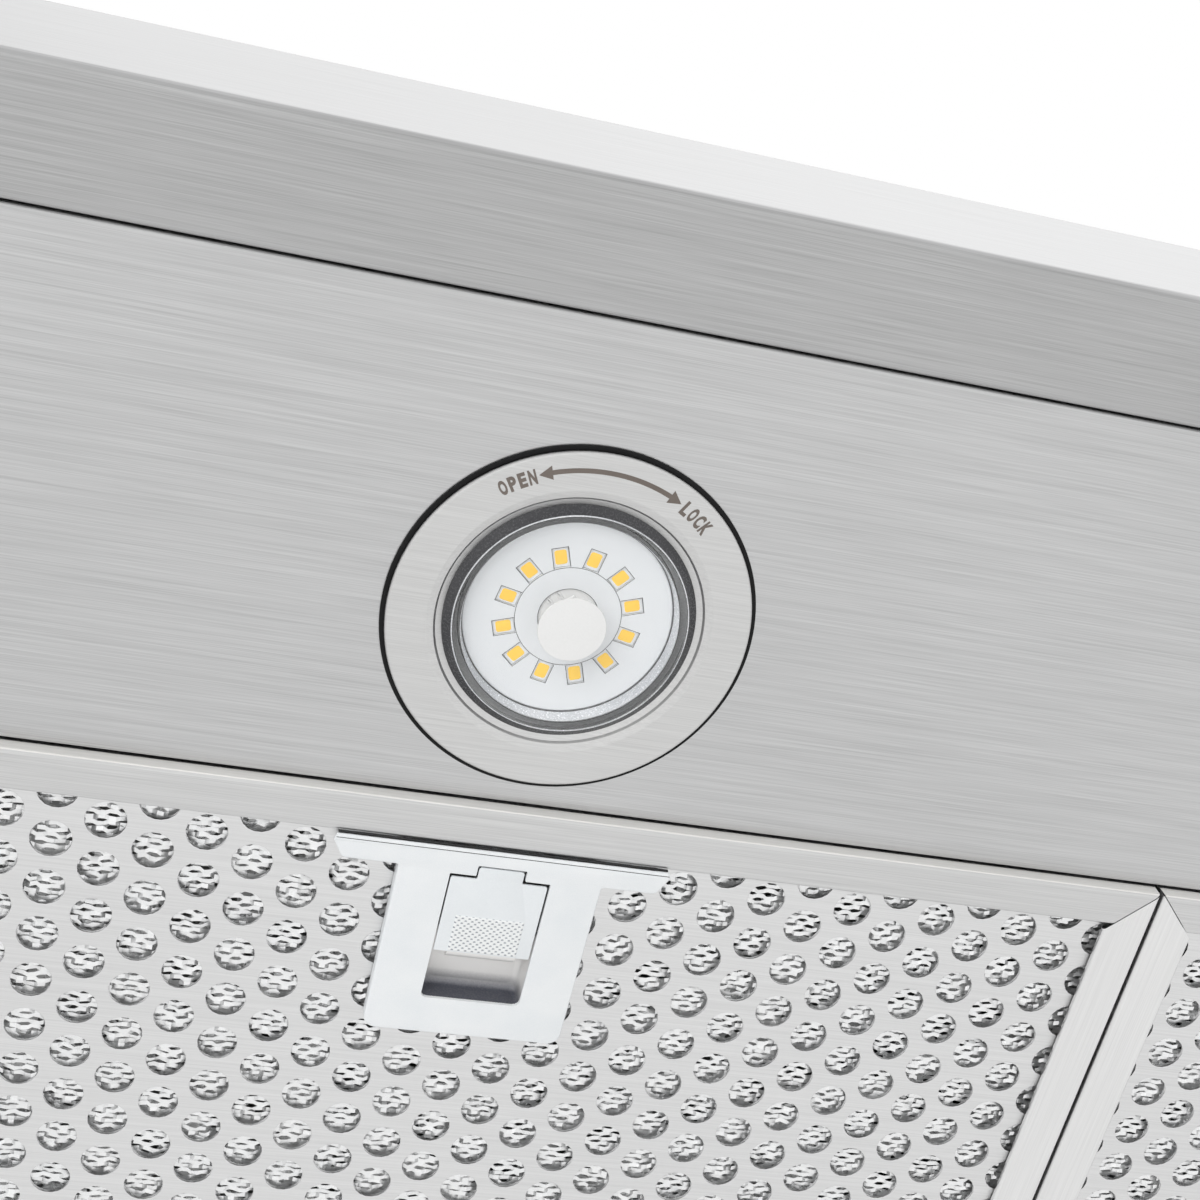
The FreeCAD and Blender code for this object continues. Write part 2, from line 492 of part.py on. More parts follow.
def grease_filter(i, x):
    def along(low, high):
        return f"filter_front + {low}", f"filter_front + {high}"

    half = "filter_width / 2"
    outside = box(f"frame_outside_{i}", sides(half, x), ("filter_front", "filter_rear"),
                  ("0", "filter_top"))
    inside = box(f"frame_inside_{i}", sides(f"{half} - frame_wall", x),
                 ("filter_front + frame_wall", "filter_rear - frame_wall"),
                 ("strip_thickness", "flange_foot"))
    mouth = box(f"frame_mouth_{i}", sides(f"{half} - strip_width", x),
                ("filter_front + strip_width", "filter_rear - strip_width"),
                ("0 - overrun", "filter_top + overrun"))
    slot = box(f"frame_slot_{i}", sides("tongue_width / 2 + 2 * seat_play", x),
               along("0 - overrun", "overrun"),
               ("tongue_rise - 2 * seat_play", "tongue_rise + tongue_thickness + 2 * seat_play"))
    tabs = [box(f"frame_tab_{i}_{j}", sides("tab_width / 2", f"{x} + {j} * tab_spread"),
                ("filter_rear - frame_wall", "filter_rear + tab_reach"),
                ("rim_upturn + seat_play", "rim_upturn + seat_play + frame_wall")) for j in (-1, 1)]
    channel = cut(f"frame_channel_{i}", outside, inside, mouth, slot)
    node(f"filter_frame_{i}", fuse(f"filter_frame_{i}", channel, *tabs))

    hollow = ("cutout_half", "cutout_front", "cutout_rear")
    perforated(f"filter_face_{i}", x, "face_foot", number("hole_diameter"), number("hole_pitch"),
               number("hole_start"), number("hole_shift"), hollow)
    perforated(f"filter_back_{i}", x, "rear_plate_foot", number("back_hole_diameter"),
               number("back_hole_pitch"), number("back_hole_pitch"), 0, hollow)
    layers = []
    for j in range(int(number("mesh_layers"))):
        foot = f"mesh_foot + {j} * (mesh_height - mesh_sheet) / (mesh_layers - 1)"
        layer = box(f"mesh_layer_{i}_{j}", sides(f"{half} - plate_inset", x),
                    along("plate_inset", "filter_length - plate_inset"), (foot, f"{foot} + mesh_sheet"))
        gap = box(f"mesh_gap_{i}_{j}", sides("cutout_half", x), along("0", "cutout_rear"),
                  ("mesh_foot - overrun", "mesh_top + overrun"))
        layers.append(cut(f"mesh_sheet_{i}_{j}", layer, gap))
    node(f"filter_mesh_{i}", group(f"filter_mesh_{i}", *layers))

    face = ("latch_face", "latch_back")
    bar = box(f"latch_bar_{i}", sides("bar_width / 2", x), along("bar_front", "bar_rear"), face)
    body = box(f"latch_body_{i}", sides("latch_width / 2", x), along("bar_rear", "latch_rear"),
               ("latch_face", "face_foot - seat_play"))
    under = box(f"latch_under_{i}", sides("latch_width / 2 - latch_skin", x),
                along("bar_rear - overrun", "latch_rear - latch_skin"), ("latch_back", "face_foot + overrun"))
    cup = box(f"latch_cup_{i}", sides("window_span / 2 + latch_skin", x),
              along("cup_front - latch_skin", "window_rear + latch_skin"),
              ("latch_face", "cup_top + latch_skin"))
    window = box(f"latch_window_{i}", sides("window_span / 2", x), along("window_front", "cup_front"),
                 ("latch_face - overrun", "latch_back + window_relief"))
    neck = box(f"latch_neck_{i}", sides("neck_span / 2", x), along("neck_front", "window_front"),
               ("latch_face - overrun", "latch_back + window_relief"))
    bowl = box(f"latch_bowl_{i}", sides("window_span / 2", x),
               along("cup_front - 2 * latch_skin", "window_rear"), ("latch_face - overrun", "latch_back"))
    deep = box(f"latch_deep_{i}", sides("window_span / 2", x), along("cup_front", "window_rear"),
               ("latch_face", "cup_top"))
    folded = fuse(f"latch_folds_{i}", bar, cut(f"latch_shell_{i}", body, under), cup)
    space = fuse(f"latch_space_{i}", window, neck, bowl, deep)
    node(f"latch_plate_{i}", cut(f"latch_plate_{i}", folded, space))

    tab = box(f"slider_tab_{i}", sides("window_span / 2 - slide_play", x),
              along("window_front + slide_play", "slider_rear"), face)
    nose = box(f"slider_nose_{i}", sides("neck_span / 2 - slide_play", x),
               along("neck_front + slide_play", "window_front + overrun"), face)
    grip = box(f"slider_grip_{i}", sides("grip_width / 2", x),
               along("slider_rear - latch_skin", "slider_rear"), ("latch_face", "latch_face + grip_rise"))
    riser = box(f"slider_riser_{i}", sides("tongue_width / 2", x),
                along("riser_front", "riser_front + latch_skin"),
                ("latch_face", "tongue_rise + tongue_thickness"))
    tongue = box(f"slider_tongue_{i}", sides("tongue_width / 2", x),
                 along("0 - filter_gap / 2", "riser_front + latch_skin"),
                 ("tongue_rise", "tongue_rise + tongue_thickness"))
    node(f"latch_slider_{i}", fuse(f"latch_slider_{i}", tab, nose, grip, riser, tongue))


def buttons():
    rings = []
    bore = "button_radius + button_play"
    for i, x in enumerate(button_places(), 1):
        cap = rod(f"button_cap_{i}", (x, "front - button_proud", "band_middle"), "button_radius",
                  "button_proud + cap_sunk", "y")
        stem = rod(f"button_stem_{i}", (x, "front + cap_sunk", "band_middle"), "stem_radius",
                   "switch_front - button_travel - seat_play - front - cap_sunk", "y")
        node(f"push_button_{i}", fuse(f"push_button_{i}", cap, stem))
        rim = rod(f"ring_rim_{i}", (x, "front - ring_proud", "band_middle"), f"{bore} + ring_width",
                  "ring_proud", "y")
        sleeve = rod(f"ring_sleeve_{i}", (x, "front", "band_middle"), f"{bore} + ring_wall",
                     "skin + overrun", "y")
        hole = rod(f"ring_bore_{i}", (x, "front - overrun", "band_middle"), bore, "4 * overrun", "y")
        rings.append(cut(f"ring_{i}", fuse(f"ring_outside_{i}", rim, sleeve), hole))
    node("button_bezels", group("button_bezels", *rings))

    level = sides("control_board_height / 2", "band_middle")
    board = box("board_sheet", sides("control_board_width / 2"),
                ("board_front", "board_front + board_thickness"), level)
    switches = [box(f"switch_{i}", sides("switch_size / 2", x), ("switch_front", "board_front"),
                    sides("switch_size / 2", "band_middle")) for i, x in enumerate(button_places())]
    standoffs = [box(f"standoff_{i}", sides("standoff / 2", f"{i} * (control_board_width - standoff) / 2"),
                     ("front + skin", "board_front"), sides("standoff / 2", "band_middle")) for i in (-1, 1)]
    node("control_board", fuse("control_board", board, *switches, *standoffs))


def blower():
    axis = ("0 - scroll_half", "duct_y", "scroll_rise")
    scroll = rod("scroll_outside", axis, "scroll_radius", "scroll_width", "x")
    spout = box("spout_outside", sides("scroll_half"), sides("outlet_width / 2", "duct_y"),
                ("scroll_rise", "canopy_top"))
    room = rod("scroll_inside", ("scroll_wall - scroll_half", "duct_y", "scroll_rise"),
               "scroll_radius - scroll_wall", "scroll_width - 2 * scroll_wall", "x")
    throat = box("spout_inside", sides("scroll_half - scroll_wall"),
                 sides("outlet_width / 2 - scroll_wall", "duct_y"), ("scroll_rise", "canopy_top + overrun"))
    inlets = rod("scroll_inlets", ("0 - scroll_half - overrun", "duct_y", "scroll_rise"), "inlet_radius",
                 "scroll_width + 2 * overrun", "x")
    node("blower_housing", cut("blower_housing", fuse("housing_outside", scroll, spout),
                               fuse("housing_inside", room, throat, inlets)))

    count = int(number("blade_count"))
    span = sides("wheel_width / 2")
    ring_bore = "wheel_radius - blade_depth"
    blades = [spoke(f"blade_{i}", ("0", "0"), ring_bore, "wheel_radius", "blade_thickness", span,
                    i * 360 / count) for i in range(count)]
    rings = [turned(f"wheel_ring_{i}", [
        (ring_bore, low), ("wheel_radius", low), ("wheel_radius", f"{low} + wheel_ring"),
        (ring_bore, f"{low} + wheel_ring")])
        for i, low in enumerate((span[0], "wheel_width / 2 - wheel_ring"))]
    disc = rod("wheel_disc", ("0", "0", "0 - disc_thickness / 2"), "wheel_radius - blade_depth / 2",
               "disc_thickness")
    hub = rod("wheel_hub", ("0", "0", "0 - hub_length / 2"), "hub_radius", "hub_length")
    shaft = rod("wheel_shaft", ("0", "0", "0 - hub_length / 2"), "shaft_radius",
                "hub_length / 2 + shaft_length")
    wheel = fuse("impeller", disc, hub, shaft, *rings, *blades)
    wheel.Placement.Rotation = TURNS["x"]
    node("impeller", place(wheel, ("0", "duct_y", "scroll_rise")))

    motor_end = "scroll_half - 2 * arm_thickness"
    drum = rod("motor_drum", ("motor_start", "duct_y", "scroll_rise"), "motor_radius",
               f"{motor_end} - motor_start", "x")
    bearing = rod("motor_bearing", ("motor_start - overrun", "duct_y", "scroll_rise"),
                  "shaft_radius + running_play", "shaft_length + 2 * overrun - motor_start", "x")
    node("blower_motor", cut("blower_motor", drum, bearing))
    reach = "inlet_radius + arm_overlap"
    arms = [box("bracket_arm_level", ("scroll_half", "scroll_half + arm_thickness"), sides(reach, "duct_y"),
                sides("bracket_arm / 2", "scroll_rise")),
            box("bracket_arm_upright", ("scroll_half", "scroll_half + arm_thickness"),
                sides("bracket_arm / 2", "duct_y"), sides(reach, "scroll_rise"))]
    boss = rod("bracket_boss", (motor_end, "duct_y", "scroll_rise"), "hub_radius", "3 * arm_thickness", "x")
    node("motor_bracket", fuse("motor_bracket", boss, *arms))


def outlet():
    ledge = "damper_rise - flap_half - seat_play"
    node("outlet_collar", turned("outlet_collar", [
        ("collar_bore", "0"), ("collar_flange", "0"), ("collar_flange", "skin"), ("collar_radius", "skin"),
        ("collar_radius", "collar_height"), ("collar_bore", "collar_height"), ("collar_bore", ledge),
        ("collar_bore - ledge_width", ledge), ("collar_bore - ledge_width", f"{ledge} - skin"),
        ("collar_bore", f"{ledge} - skin")], ("0", "duct_y", "deck_top")))
    pin_half = "collar_bore - ledge_width - seat_play"
    node("damper_pin", rod("damper_pin", (f"0 - ({pin_half})", "duct_y", "damper_axis"), "pin_radius",
                           f"2 * ({pin_half})", "x"))

    # each flap is a half disc with two knuckles round the pin, in the gaps of the other flap's knuckles
    knuckles = {"front": ("0 - knuckle_far - knuckle_length", "knuckle_near"),
                "rear": ("0 - knuckle_near - knuckle_length", "knuckle_far")}
    for name, turn in (("front", 180), ("rear", 0)):
        disc = rod(f"flap_disc_{name}", ("0", "duct_y", "damper_axis - flap_half"), "flap_radius",
                   "flap_thickness")
        disc.Angle = 180
        disc.Placement.Rotation = FreeCAD.Rotation(FreeCAD.Vector(0, 0, 1), turn)
        strip = box(f"flap_strip_{name}", sides("collar_radius"),
                    sides("knuckle_radius + seat_play", "duct_y"), sides("overrun", "damper_axis"))
        sign = "0 - " if name == "front" else ""
        parts = [cut(f"flap_half_{name}", disc, strip)]
        for i, start in enumerate(knuckles[name]):
            parts.append(rod(f"knuckle_{name}_{i}", (start, "duct_y", "damper_axis"), "knuckle_radius",
                             "knuckle_length", "x"))
            reach = f"duct_y + {sign}(knuckle_radius + overrun)"
            ends = (reach, "duct_y") if name == "front" else ("duct_y", reach)
            parts.append(box(f"flap_web_{name}_{i}", (start, f"{start} + knuckle_length"), ends,
                             sides("flap_half", "damper_axis")))
        bore = rod(f"flap_bore_{name}", ("0 - collar_radius", "duct_y", "damper_axis"),
                   "pin_radius + running_play", "2 * collar_radius", "x")
        node(f"damper_flap_{name}", cut(f"damper_flap_{name}", fuse(f"flap_solid_{name}", *parts), bore))

    heads = []
    for i in (-1, 1):
        for j in (-1, 1):
            round_the_collar = (f"{i} * screw_circle * sqrt(0.5)", f"duct_y + {j} * screw_circle * sqrt(0.5)",
                                "deck_top + skin")
            at_the_corner = (f"{i} * (inner_half - screw_inset)",
                             f"0 - chimney_depth / 2 + {j} * (chimney_depth / 2 - screw_inset)", "deck_top")
            for spot, base in (("collar", round_the_collar), ("corner", at_the_corner)):
                heads.append(rod(f"screw_{spot}_{i}{j}", base, "screw_radius", "screw_height"))
    node("housing_screws", group("housing_screws", *heads))


def control_box():
    node("control_box", box("control_box", sides("control_box_width / 2", "control_box_reach"),
                            ("0 - back_thickness - control_box_depth", "0 - back_thickness"),
                            ("control_box_rise", "control_box_rise + control_box_height")))


skirt_band()
canopy()
deck()
chimney()
lamp_panel()
for side, sign in (("left", -1), ("right", 1)):
    lamp(side, sign)
for i, x in enumerate(filter_places(), 1):
    grease_filter(i, x)
buttons()
blower()
outlet()
control_box()
doc.recompute()

for thing in doc.Objects:
    if "Invalid" in thing.State or "Error" in thing.State:
        raise RuntimeError(f"{thing.Name} did not build: {thing.State}")
os.makedirs("parts", exist_ok=True)
for thing in nodes:
    if thing.Shape.isNull() or not thing.Shape.isValid():
        raise RuntimeError(f"{thing.Label} has no valid shape")
for thing in nodes:
    thing.Shape.exportStep(f"parts/{thing.Label}.step")
    print(f"{thing.Label}: {len(thing.Shape.Solids)} solids, {thing.Shape.Volume:.0f} mm3")
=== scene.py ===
import math

import bmesh
import bpy
import numpy as np
from mathutils import Matrix, Vector


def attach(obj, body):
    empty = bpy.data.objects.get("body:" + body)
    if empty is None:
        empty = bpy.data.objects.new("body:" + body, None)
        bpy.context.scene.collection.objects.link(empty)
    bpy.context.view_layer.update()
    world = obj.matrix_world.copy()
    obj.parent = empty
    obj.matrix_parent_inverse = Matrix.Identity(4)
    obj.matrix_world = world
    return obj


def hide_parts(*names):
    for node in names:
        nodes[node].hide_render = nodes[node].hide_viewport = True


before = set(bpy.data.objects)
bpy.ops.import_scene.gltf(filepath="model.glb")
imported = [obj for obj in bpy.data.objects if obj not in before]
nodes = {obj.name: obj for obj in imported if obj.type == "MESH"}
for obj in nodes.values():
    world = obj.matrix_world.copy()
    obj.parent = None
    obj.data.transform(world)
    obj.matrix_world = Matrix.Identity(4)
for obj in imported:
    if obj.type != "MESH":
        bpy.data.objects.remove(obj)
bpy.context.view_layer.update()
mm = 0.001
sharpAngle = 35
print("frame loaded,", len(nodes), "nodes")


# camera: place and directions worked out from the rows of holes in the grease filter
cameraSet = {
    "place": (-361.0, -561.8, -316.5),
    "looks": (0.23207, 0.39225, 0.89010),
    "up": (-0.14952, -0.88982, 0.43111),
    "lens": 57.21,
    "sensor": 36.0,
}


def setCamera(s):
    # the camera looks along its own -Z, so its axes are right, up and back
    back = -Vector(s["looks"]).normalized()
    right = Vector(s["up"]).cross(back).normalized()
    up = back.cross(right)
    data = bpy.data.cameras.new("camera")
    data.lens = s["lens"]
    data.sensor_width = s["sensor"]
    data.clip_start = 0.005
    data.clip_end = 60
    camera = bpy.data.objects.new("camera", data)
    turn = Matrix((right, up, back)).transposed().to_4x4()
    camera.matrix_world = Matrix.Translation(Vector(s["place"]) * mm) @ turn
    bpy.context.scene.collection.objects.link(camera)
    bpy.context.scene.camera = camera


setCamera(cameraSet)


# surfaces: a patch is an array of points in millimetres and an array of faces
def gridFaces(rows, cols, wrapRows=False, wrapCols=False):
    # four-sided faces between neighbouring grid points; a wrapped way joins its last line to its first
    i, j = np.meshgrid(np.arange(rows if wrapRows else rows - 1),
                       np.arange(cols if wrapCols else cols - 1), indexing="ij")
    nextI, nextJ = (i + 1) % rows, (j + 1) % cols
    ring = [i * cols + j, i * cols + nextJ, nextI * cols + nextJ, nextI * cols + j]
    return np.stack(ring, -1).reshape(-1, 4)


def gridPatch(points, wrapRows=False, wrapCols=False, flip=False):
    # points is rows x columns x 3
    faces = gridFaces(points.shape[0], points.shape[1], wrapRows, wrapCols)
    return points.reshape(-1, 3), faces[:, ::-1] if flip else faces


def fanPatch(ring, centre, flip=False):
    # a flat cap: each edge of a closed ring joined to one point
    n = len(ring)
    a = np.arange(n)
    faces = np.stack([a, (a + 1) % n, np.full(n, n)], -1)
    return np.vstack([ring, centre]), faces[:, ::-1] if flip else faces


def joinPatches(patches):
    # all points in one array, and each patch's faces numbered on from the points before it
    points, faces, start = [], [], 0
    for p, f in patches:
        points.append(p)
        faces.append(f + start)
        start += len(p)
    return np.vstack(points), faces


def patchMesh(name, patches, kinds=None):
    # puts patches into one mesh; kinds picks each patch's finish
    points, faces = joinPatches(patches)
    mesh = bpy.data.meshes.new(name)
    mesh.vertices.add(len(points))
    mesh.vertices.foreach_set("co", (points * mm).astype(np.float32).ravel())
    sides = np.concatenate([np.full(len(f), f.shape[1]) for f in faces])
    mesh.loops.add(int(sides.sum()))
    mesh.loops.foreach_set("vertex_index", np.concatenate([f.ravel() for f in faces]).astype(np.int32))
    mesh.polygons.add(len(sides))
    mesh.polygons.foreach_set("loop_start", (np.cumsum(sides) - sides).astype(np.int32))
    mesh.polygons.foreach_set("loop_total", sides.astype(np.int32))
    if kinds is not None:
        chosen = np.repeat(kinds, [len(f) for f in faces])
        mesh.polygons.foreach_set("material_index", chosen.astype(np.int32))
    mesh.update(calc_edges=True)
    mesh.validate()
    return mesh


def smoothBelow(mesh, angle):
    # smooth shading, with edges that turn by more than the angle left sharp
    mesh.polygons.foreach_set("use_smooth", np.ones(len(mesh.polygons), bool))
    mesh.set_sharp_from_angle(angle=math.radians(angle))


def meshPiece(name, patches, finishes, body, replaced=(), sharp=sharpAngle, weld=0.002,
              kinds=None):
    # patches made one welded, shaded piece that rides on a body of the frame
    mesh = patchMesh(name, patches, kinds)
    if weld:
        work = bmesh.new()
        work.from_mesh(mesh)
        bmesh.ops.remove_doubles(work, verts=work.verts, dist=weld * mm)
        bmesh.ops.dissolve_degenerate(work, edges=work.edges, dist=weld * mm / 4)
        work.to_mesh(mesh)
        work.free()
    smoothBelow(mesh, sharp)
    for material in finishes if isinstance(finishes, list) else [finishes]:
        mesh.materials.append(material)
    return placePiece(name, mesh, body, replaced)


def placePiece(name, mesh, body, replaced=()):
    piece = bpy.data.objects.new(name, mesh)
    bpy.context.scene.collection.objects.link(piece)
    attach(piece, body)
    if replaced:
        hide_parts(*replaced)
    return piece


def copyAlong(piece, stem, body, node, pitch):
    # the first filter's piece again on the other two filters, each copy's place in its mesh
    for i in (2, 3):
        mesh = piece.data.copy()
        mesh.transform(Matrix.Translation(Vector((pitch * (i - 1), 0, 0)) * mm))
        placePiece(f"{stem}{i}", mesh, f"{body}_{i}", [f"{node}_{i}"] if node else ())


def roundPath(points, radii, steps=5, closed=False, hold=0.25):
    # a line with rounded corners: each arc touches both runs at radius / tan(half the corner's angle) from
    # the corner, and a holding point stands a little before and after it so that flat runs stay flat
    points = [np.array(p, float) for p in points]
    n = len(points)
    made = []
    for k in range(n):
        radius = radii[k]
        if radius <= 0 or (not closed and k in (0, n - 1)):
            made.append(points[k][None])
            continue
        toPast = points[k - 1] - points[k]
        toNext = points[(k + 1) % n] - points[k]
        toPast, toNext = toPast / np.linalg.norm(toPast), toNext / np.linalg.norm(toNext)
        half = math.acos(np.clip(toPast @ toNext, -1, 1)) / 2
        middle = (toPast + toNext) / np.linalg.norm(toPast + toNext)
        centre = points[k] + middle * radius / math.sin(half)
        first = points[k] + toPast * radius / math.tan(half)
        last = points[k] + toNext * radius / math.tan(half)
        # the arc is swung from the first touching point to the last one
        angle = math.pi - 2 * half
        t = np.linspace(0, 1, steps + 1)[:, None]
        a, b = first - centre, last - centre
        arc = centre + (a * np.sin((1 - t) * angle) + b * np.sin(t * angle)) / math.sin(angle)
        made += [first[None] + toPast * hold, arc, last[None] + toNext * hold]
    return np.vstack(made)


# finishes: every one is made of nodes on Object coordinates, in metres
def startFinish(name):
    material = bpy.data.materials.new(name)
    material.use_nodes = True
    tree = material.node_tree
    shader = tree.nodes["Principled BSDF"]
    where = tree.nodes.new("ShaderNodeTexCoord")
    return material, tree, shader, where.outputs["Object"]


def noiseAt(tree, where, scale, detail=3.0, rough=0.55):
    # cloudy pattern; scale is how many times it repeats per metre along each axis
    mapping = tree.nodes.new("ShaderNodeMapping")
    mapping.inputs["Scale"].default_value = scale
    noise = tree.nodes.new("ShaderNodeTexNoise")
    noise.inputs["Scale"].default_value = 1.0
    noise.inputs["Detail"].default_value = detail
    noise.inputs["Roughness"].default_value = rough
    tree.links.new(where, mapping.inputs["Vector"])
    tree.links.new(mapping.outputs["Vector"], noise.inputs["Vector"])
    return noise.outputs["Fac"]


def spread(tree, value, low, high, fromLow=0.3, fromHigh=0.7):
    # stretches a pattern to run between two values
    node = tree.nodes.new("ShaderNodeMapRange")
    node.inputs["From Min"].default_value = fromLow
    node.inputs["From Max"].default_value = fromHigh
    node.inputs["To Min"].default_value = low
    node.inputs["To Max"].default_value = high
    tree.links.new(value, node.inputs["Value"])
    return node.outputs["Result"]


def tint(tree, value, low, high, fromLow=0.3, fromHigh=0.7):
    # a pattern turned into colours between two ends
    ramp = tree.nodes.new("ShaderNodeValToRGB")
    ramp.color_ramp.elements[0].position = fromLow
    ramp.color_ramp.elements[1].position = fromHigh
    ramp.color_ramp.elements[0].color = (*low, 1)
    ramp.color_ramp.elements[1].color = (*high, 1)
    tree.links.new(value, ramp.inputs["Fac"])
    return ramp.outputs["Color"]


def addUp(tree, first, second, share=0.5):
    # one pattern mixed into another
    node = tree.nodes.new("ShaderNodeMix")
    node.inputs["Factor"].default_value = share
    tree.links.new(first, node.inputs["A"])
    tree.links.new(second, node.inputs["B"])
    return node.outputs["Result"]


def bumpBy(tree, shader, value, depth, strength):
    # depth in metres
    node = tree.nodes.new("ShaderNodeBump")
    node.inputs["Strength"].default_value = strength
    node.inputs["Distance"].default_value = depth
    tree.links.new(value, node.inputs["Height"])
    tree.links.new(node.outputs["Normal"], shader.inputs["Normal"])


def mixBy(tree, first, second, share):
    # one pattern or the other, as a third pattern says
    node = tree.nodes.new("ShaderNodeMix")
    for value, socket in ((share, "Factor"), (first, "A"), (second, "B")):
        tree.links.new(value, node.inputs[socket])
    return node.outputs["Result"]


def axisOf(tree, vector, axis):
    # one number of a vector
    split = tree.nodes.new("ShaderNodeSeparateXYZ")
    tree.links.new(vector, split.inputs["Vector"])
    return split.outputs[axis]


def mathOf(tree, operation, *values):
    # one sum worked out on patterns
    node = tree.nodes.new("ShaderNodeMath")
    node.operation = operation
    for value, socket in zip(values, node.inputs):
        tree.links.new(value, socket)
    return node.outputs["Value"]


def sidewaysAt(tree, where):
    # one on faces that look left or right, none on the others, with a narrow change between
    size = mathOf(tree, "ABSOLUTE", axisOf(tree, where.node.outputs["Normal"], "X"))
    return spread(tree, size, 0, 1, 0.30, 0.34)


def grainAt(tree, where, s, grain):
    # long scratches: a fine pattern and a broad one, both stretched along the grain
    fineScale = [s["across"] * f if f else s["along"] for f in grain]
    broadScale = [s["broadAcross"] * f if f else s["along"] * s["broadStretch"] for f in grain]
    fine = noiseAt(tree, where, fineScale, detail=4, rough=0.6)
    return fine, addUp(tree, fine, noiseAt(tree, where, broadScale, detail=2), s["broadShare"])


def brushedFinish(name, s):
    # sheet metal brushed one way, or two ways where it is folded round a corner
    material, tree, shader, where = startFinish(name)
    fine, both = grainAt(tree, where, s, s["grain"])
    if "sideGrain" in s:
        sideFine, sideBoth = grainAt(tree, where, s, s["sideGrain"])
        sideways = sidewaysAt(tree, where)
        fine, both = mixBy(tree, fine, sideFine, sideways), mixBy(tree, both, sideBoth, sideways)
    cloud = noiseAt(tree, where, (s["cloud"],) * 3, detail=2)
    shade = addUp(tree, both, cloud, s["cloudShare"])
    colour = tint(tree, shade, s["dark"], s["light"], *s["shadeEnds"])
    tree.links.new(colour, shader.inputs["Base Color"])
    tree.links.new(spread(tree, both, *s["rough"]), shader.inputs["Roughness"])
    bumpBy(tree, shader, fine, s["depth"], s["strength"])
    shader.inputs["Metallic"].default_value = s["metal"]
    return material


steelSet = {
    "grain": (0, 1, 1), "along": 40, "across": 5200, "broadAcross": 1500, "broadStretch": 0.4,
    "broadShare": 0.35, "cloud": 9, "cloudShare": 0.10, "shadeEnds": (0.36, 0.64),
    "dark": (0.50, 0.495, 0.485), "light": (0.62, 0.615, 0.605), "rough": (0.30, 0.42),
    "depth": 0.000012, "strength": 0.5, "metal": 1.0,
}
steelAlongX = brushedFinish("steelAlongX", steelSet)
steelAlongZ = brushedFinish("steelAlongZ", {**steelSet, "grain": (1, 1, 0)})
bandSteel = brushedFinish("bandSteel", {**steelSet, "sideGrain": (1, 0, 1), "dark": (0.413, 0.414, 0.416),
                                        "light": (0.575, 0.576, 0.579)})
panelSteel = brushedFinish("panelSteel", {**steelSet, "dark": (0.528, 0.53, 0.533),
                                          "light": (0.70, 0.702, 0.706)})


# stage: a pale floor far below, as under a hood on its wall, a white surround and soft lamps
stageSet = {
    "floorDrop": -1600, "floorHalf": 9000, "floorColour": (0.86, 0.86, 0.855), "floorShade": 0.985,
    "floorLift": 0.20, "floorRough": 0.9, "floorGloss": 0.1,
    "worldSeen": 1.0, "worldLight": 0.66,
    "lamps": {
        "keyLamp": {"place": (-1500, -2300, 1700), "aim": (0, -250, 150), "size": 2200, "power": 17,
                    "mirrored": False},
        "fillLamp": {"place": (2100, -1700, 600), "aim": (0, -250, 150), "size": 2000, "power": 8},
        "lowLamp": {"place": (-1300, -1500, -1250), "aim": (-150, -380, 0), "size": 1300, "power": 17,
                    "mirrored": False},
        "topLamp": {"place": (480, -800, 1750), "aim": (200, -500, 0), "size": 2200, "power": 8},
        "backLamp": {"place": (900, 2200, 1900), "aim": (0, -150, 300), "size": 1800, "power": 8},
    },
}


def seenRays(tree):
    # one for what the camera, a reflection or glass looks at, none for soft light
    path = tree.nodes.new("ShaderNodeLightPath")
    value = path.outputs["Is Camera Ray"]
    for ray in ("Is Glossy Ray", "Is Transmission Ray"):
        value = mathOf(tree, "MAXIMUM", value, path.outputs[ray])
    return value


def setStage(s):
    scene = bpy.context.scene
    scene.view_settings.view_transform = "Standard"
    world = bpy.data.worlds.new("studio")
    world.use_nodes = True
    scene.world = world
    tree = world.node_tree
    ground = tree.nodes["Background"]
    ground.inputs["Color"].default_value = (1, 1, 1, 1)
    strength = spread(tree, seenRays(tree), s["worldLight"], s["worldSeen"], 0, 1)
    tree.links.new(strength, ground.inputs["Strength"])

    edge = np.linspace(-s["floorHalf"], s["floorHalf"], 3)
    across, deep = np.meshgrid(edge, edge)
    points, faces = gridPatch(np.stack([across, deep, np.full_like(across, s["floorDrop"])], -1))
    mesh = bpy.data.meshes.new("studioFloor")
    mesh.from_pydata(points * mm, [], faces.tolist())
    floor = bpy.data.objects.new("studioFloor", mesh)
    scene.collection.objects.link(floor)
    material, tree, shader, where = startFinish("floorPaint")
    cloud = noiseAt(tree, where, (3, 3, 3))
    tree.links.new(tint(tree, cloud, [c * s["floorShade"] for c in s["floorColour"]], s["floorColour"]),
                   shader.inputs["Base Color"])
    shader.inputs["Roughness"].default_value = s["floorRough"]
    shader.inputs["Specular IOR Level"].default_value = s["floorGloss"]
    shader.inputs["Emission Color"].default_value = (1, 1, 1, 1)
    tree.links.new(spread(tree, seenRays(tree), 0, s["floorLift"], 0, 1), shader.inputs["Emission Strength"])
    mesh.materials.append(material)

    for name, lamp in s["lamps"].items():
        data = bpy.data.lights.new(name, "AREA")
        data.shape = "SQUARE"
        data.size = lamp["size"] * mm
        data.energy = lamp["power"]
        light = bpy.data.objects.new(name, data)
        way = Vector(lamp["aim"]) - Vector(lamp["place"])
        light.matrix_world = (Matrix.Translation(Vector(lamp["place"]) * mm)
                              @ way.to_track_quat("-Z", "Y").to_matrix().to_4x4())
        light.visible_glossy = lamp.get("mirrored", True)
        scene.collection.objects.link(light)


setStage(stageSet)
print("camera, floor and lamps set")


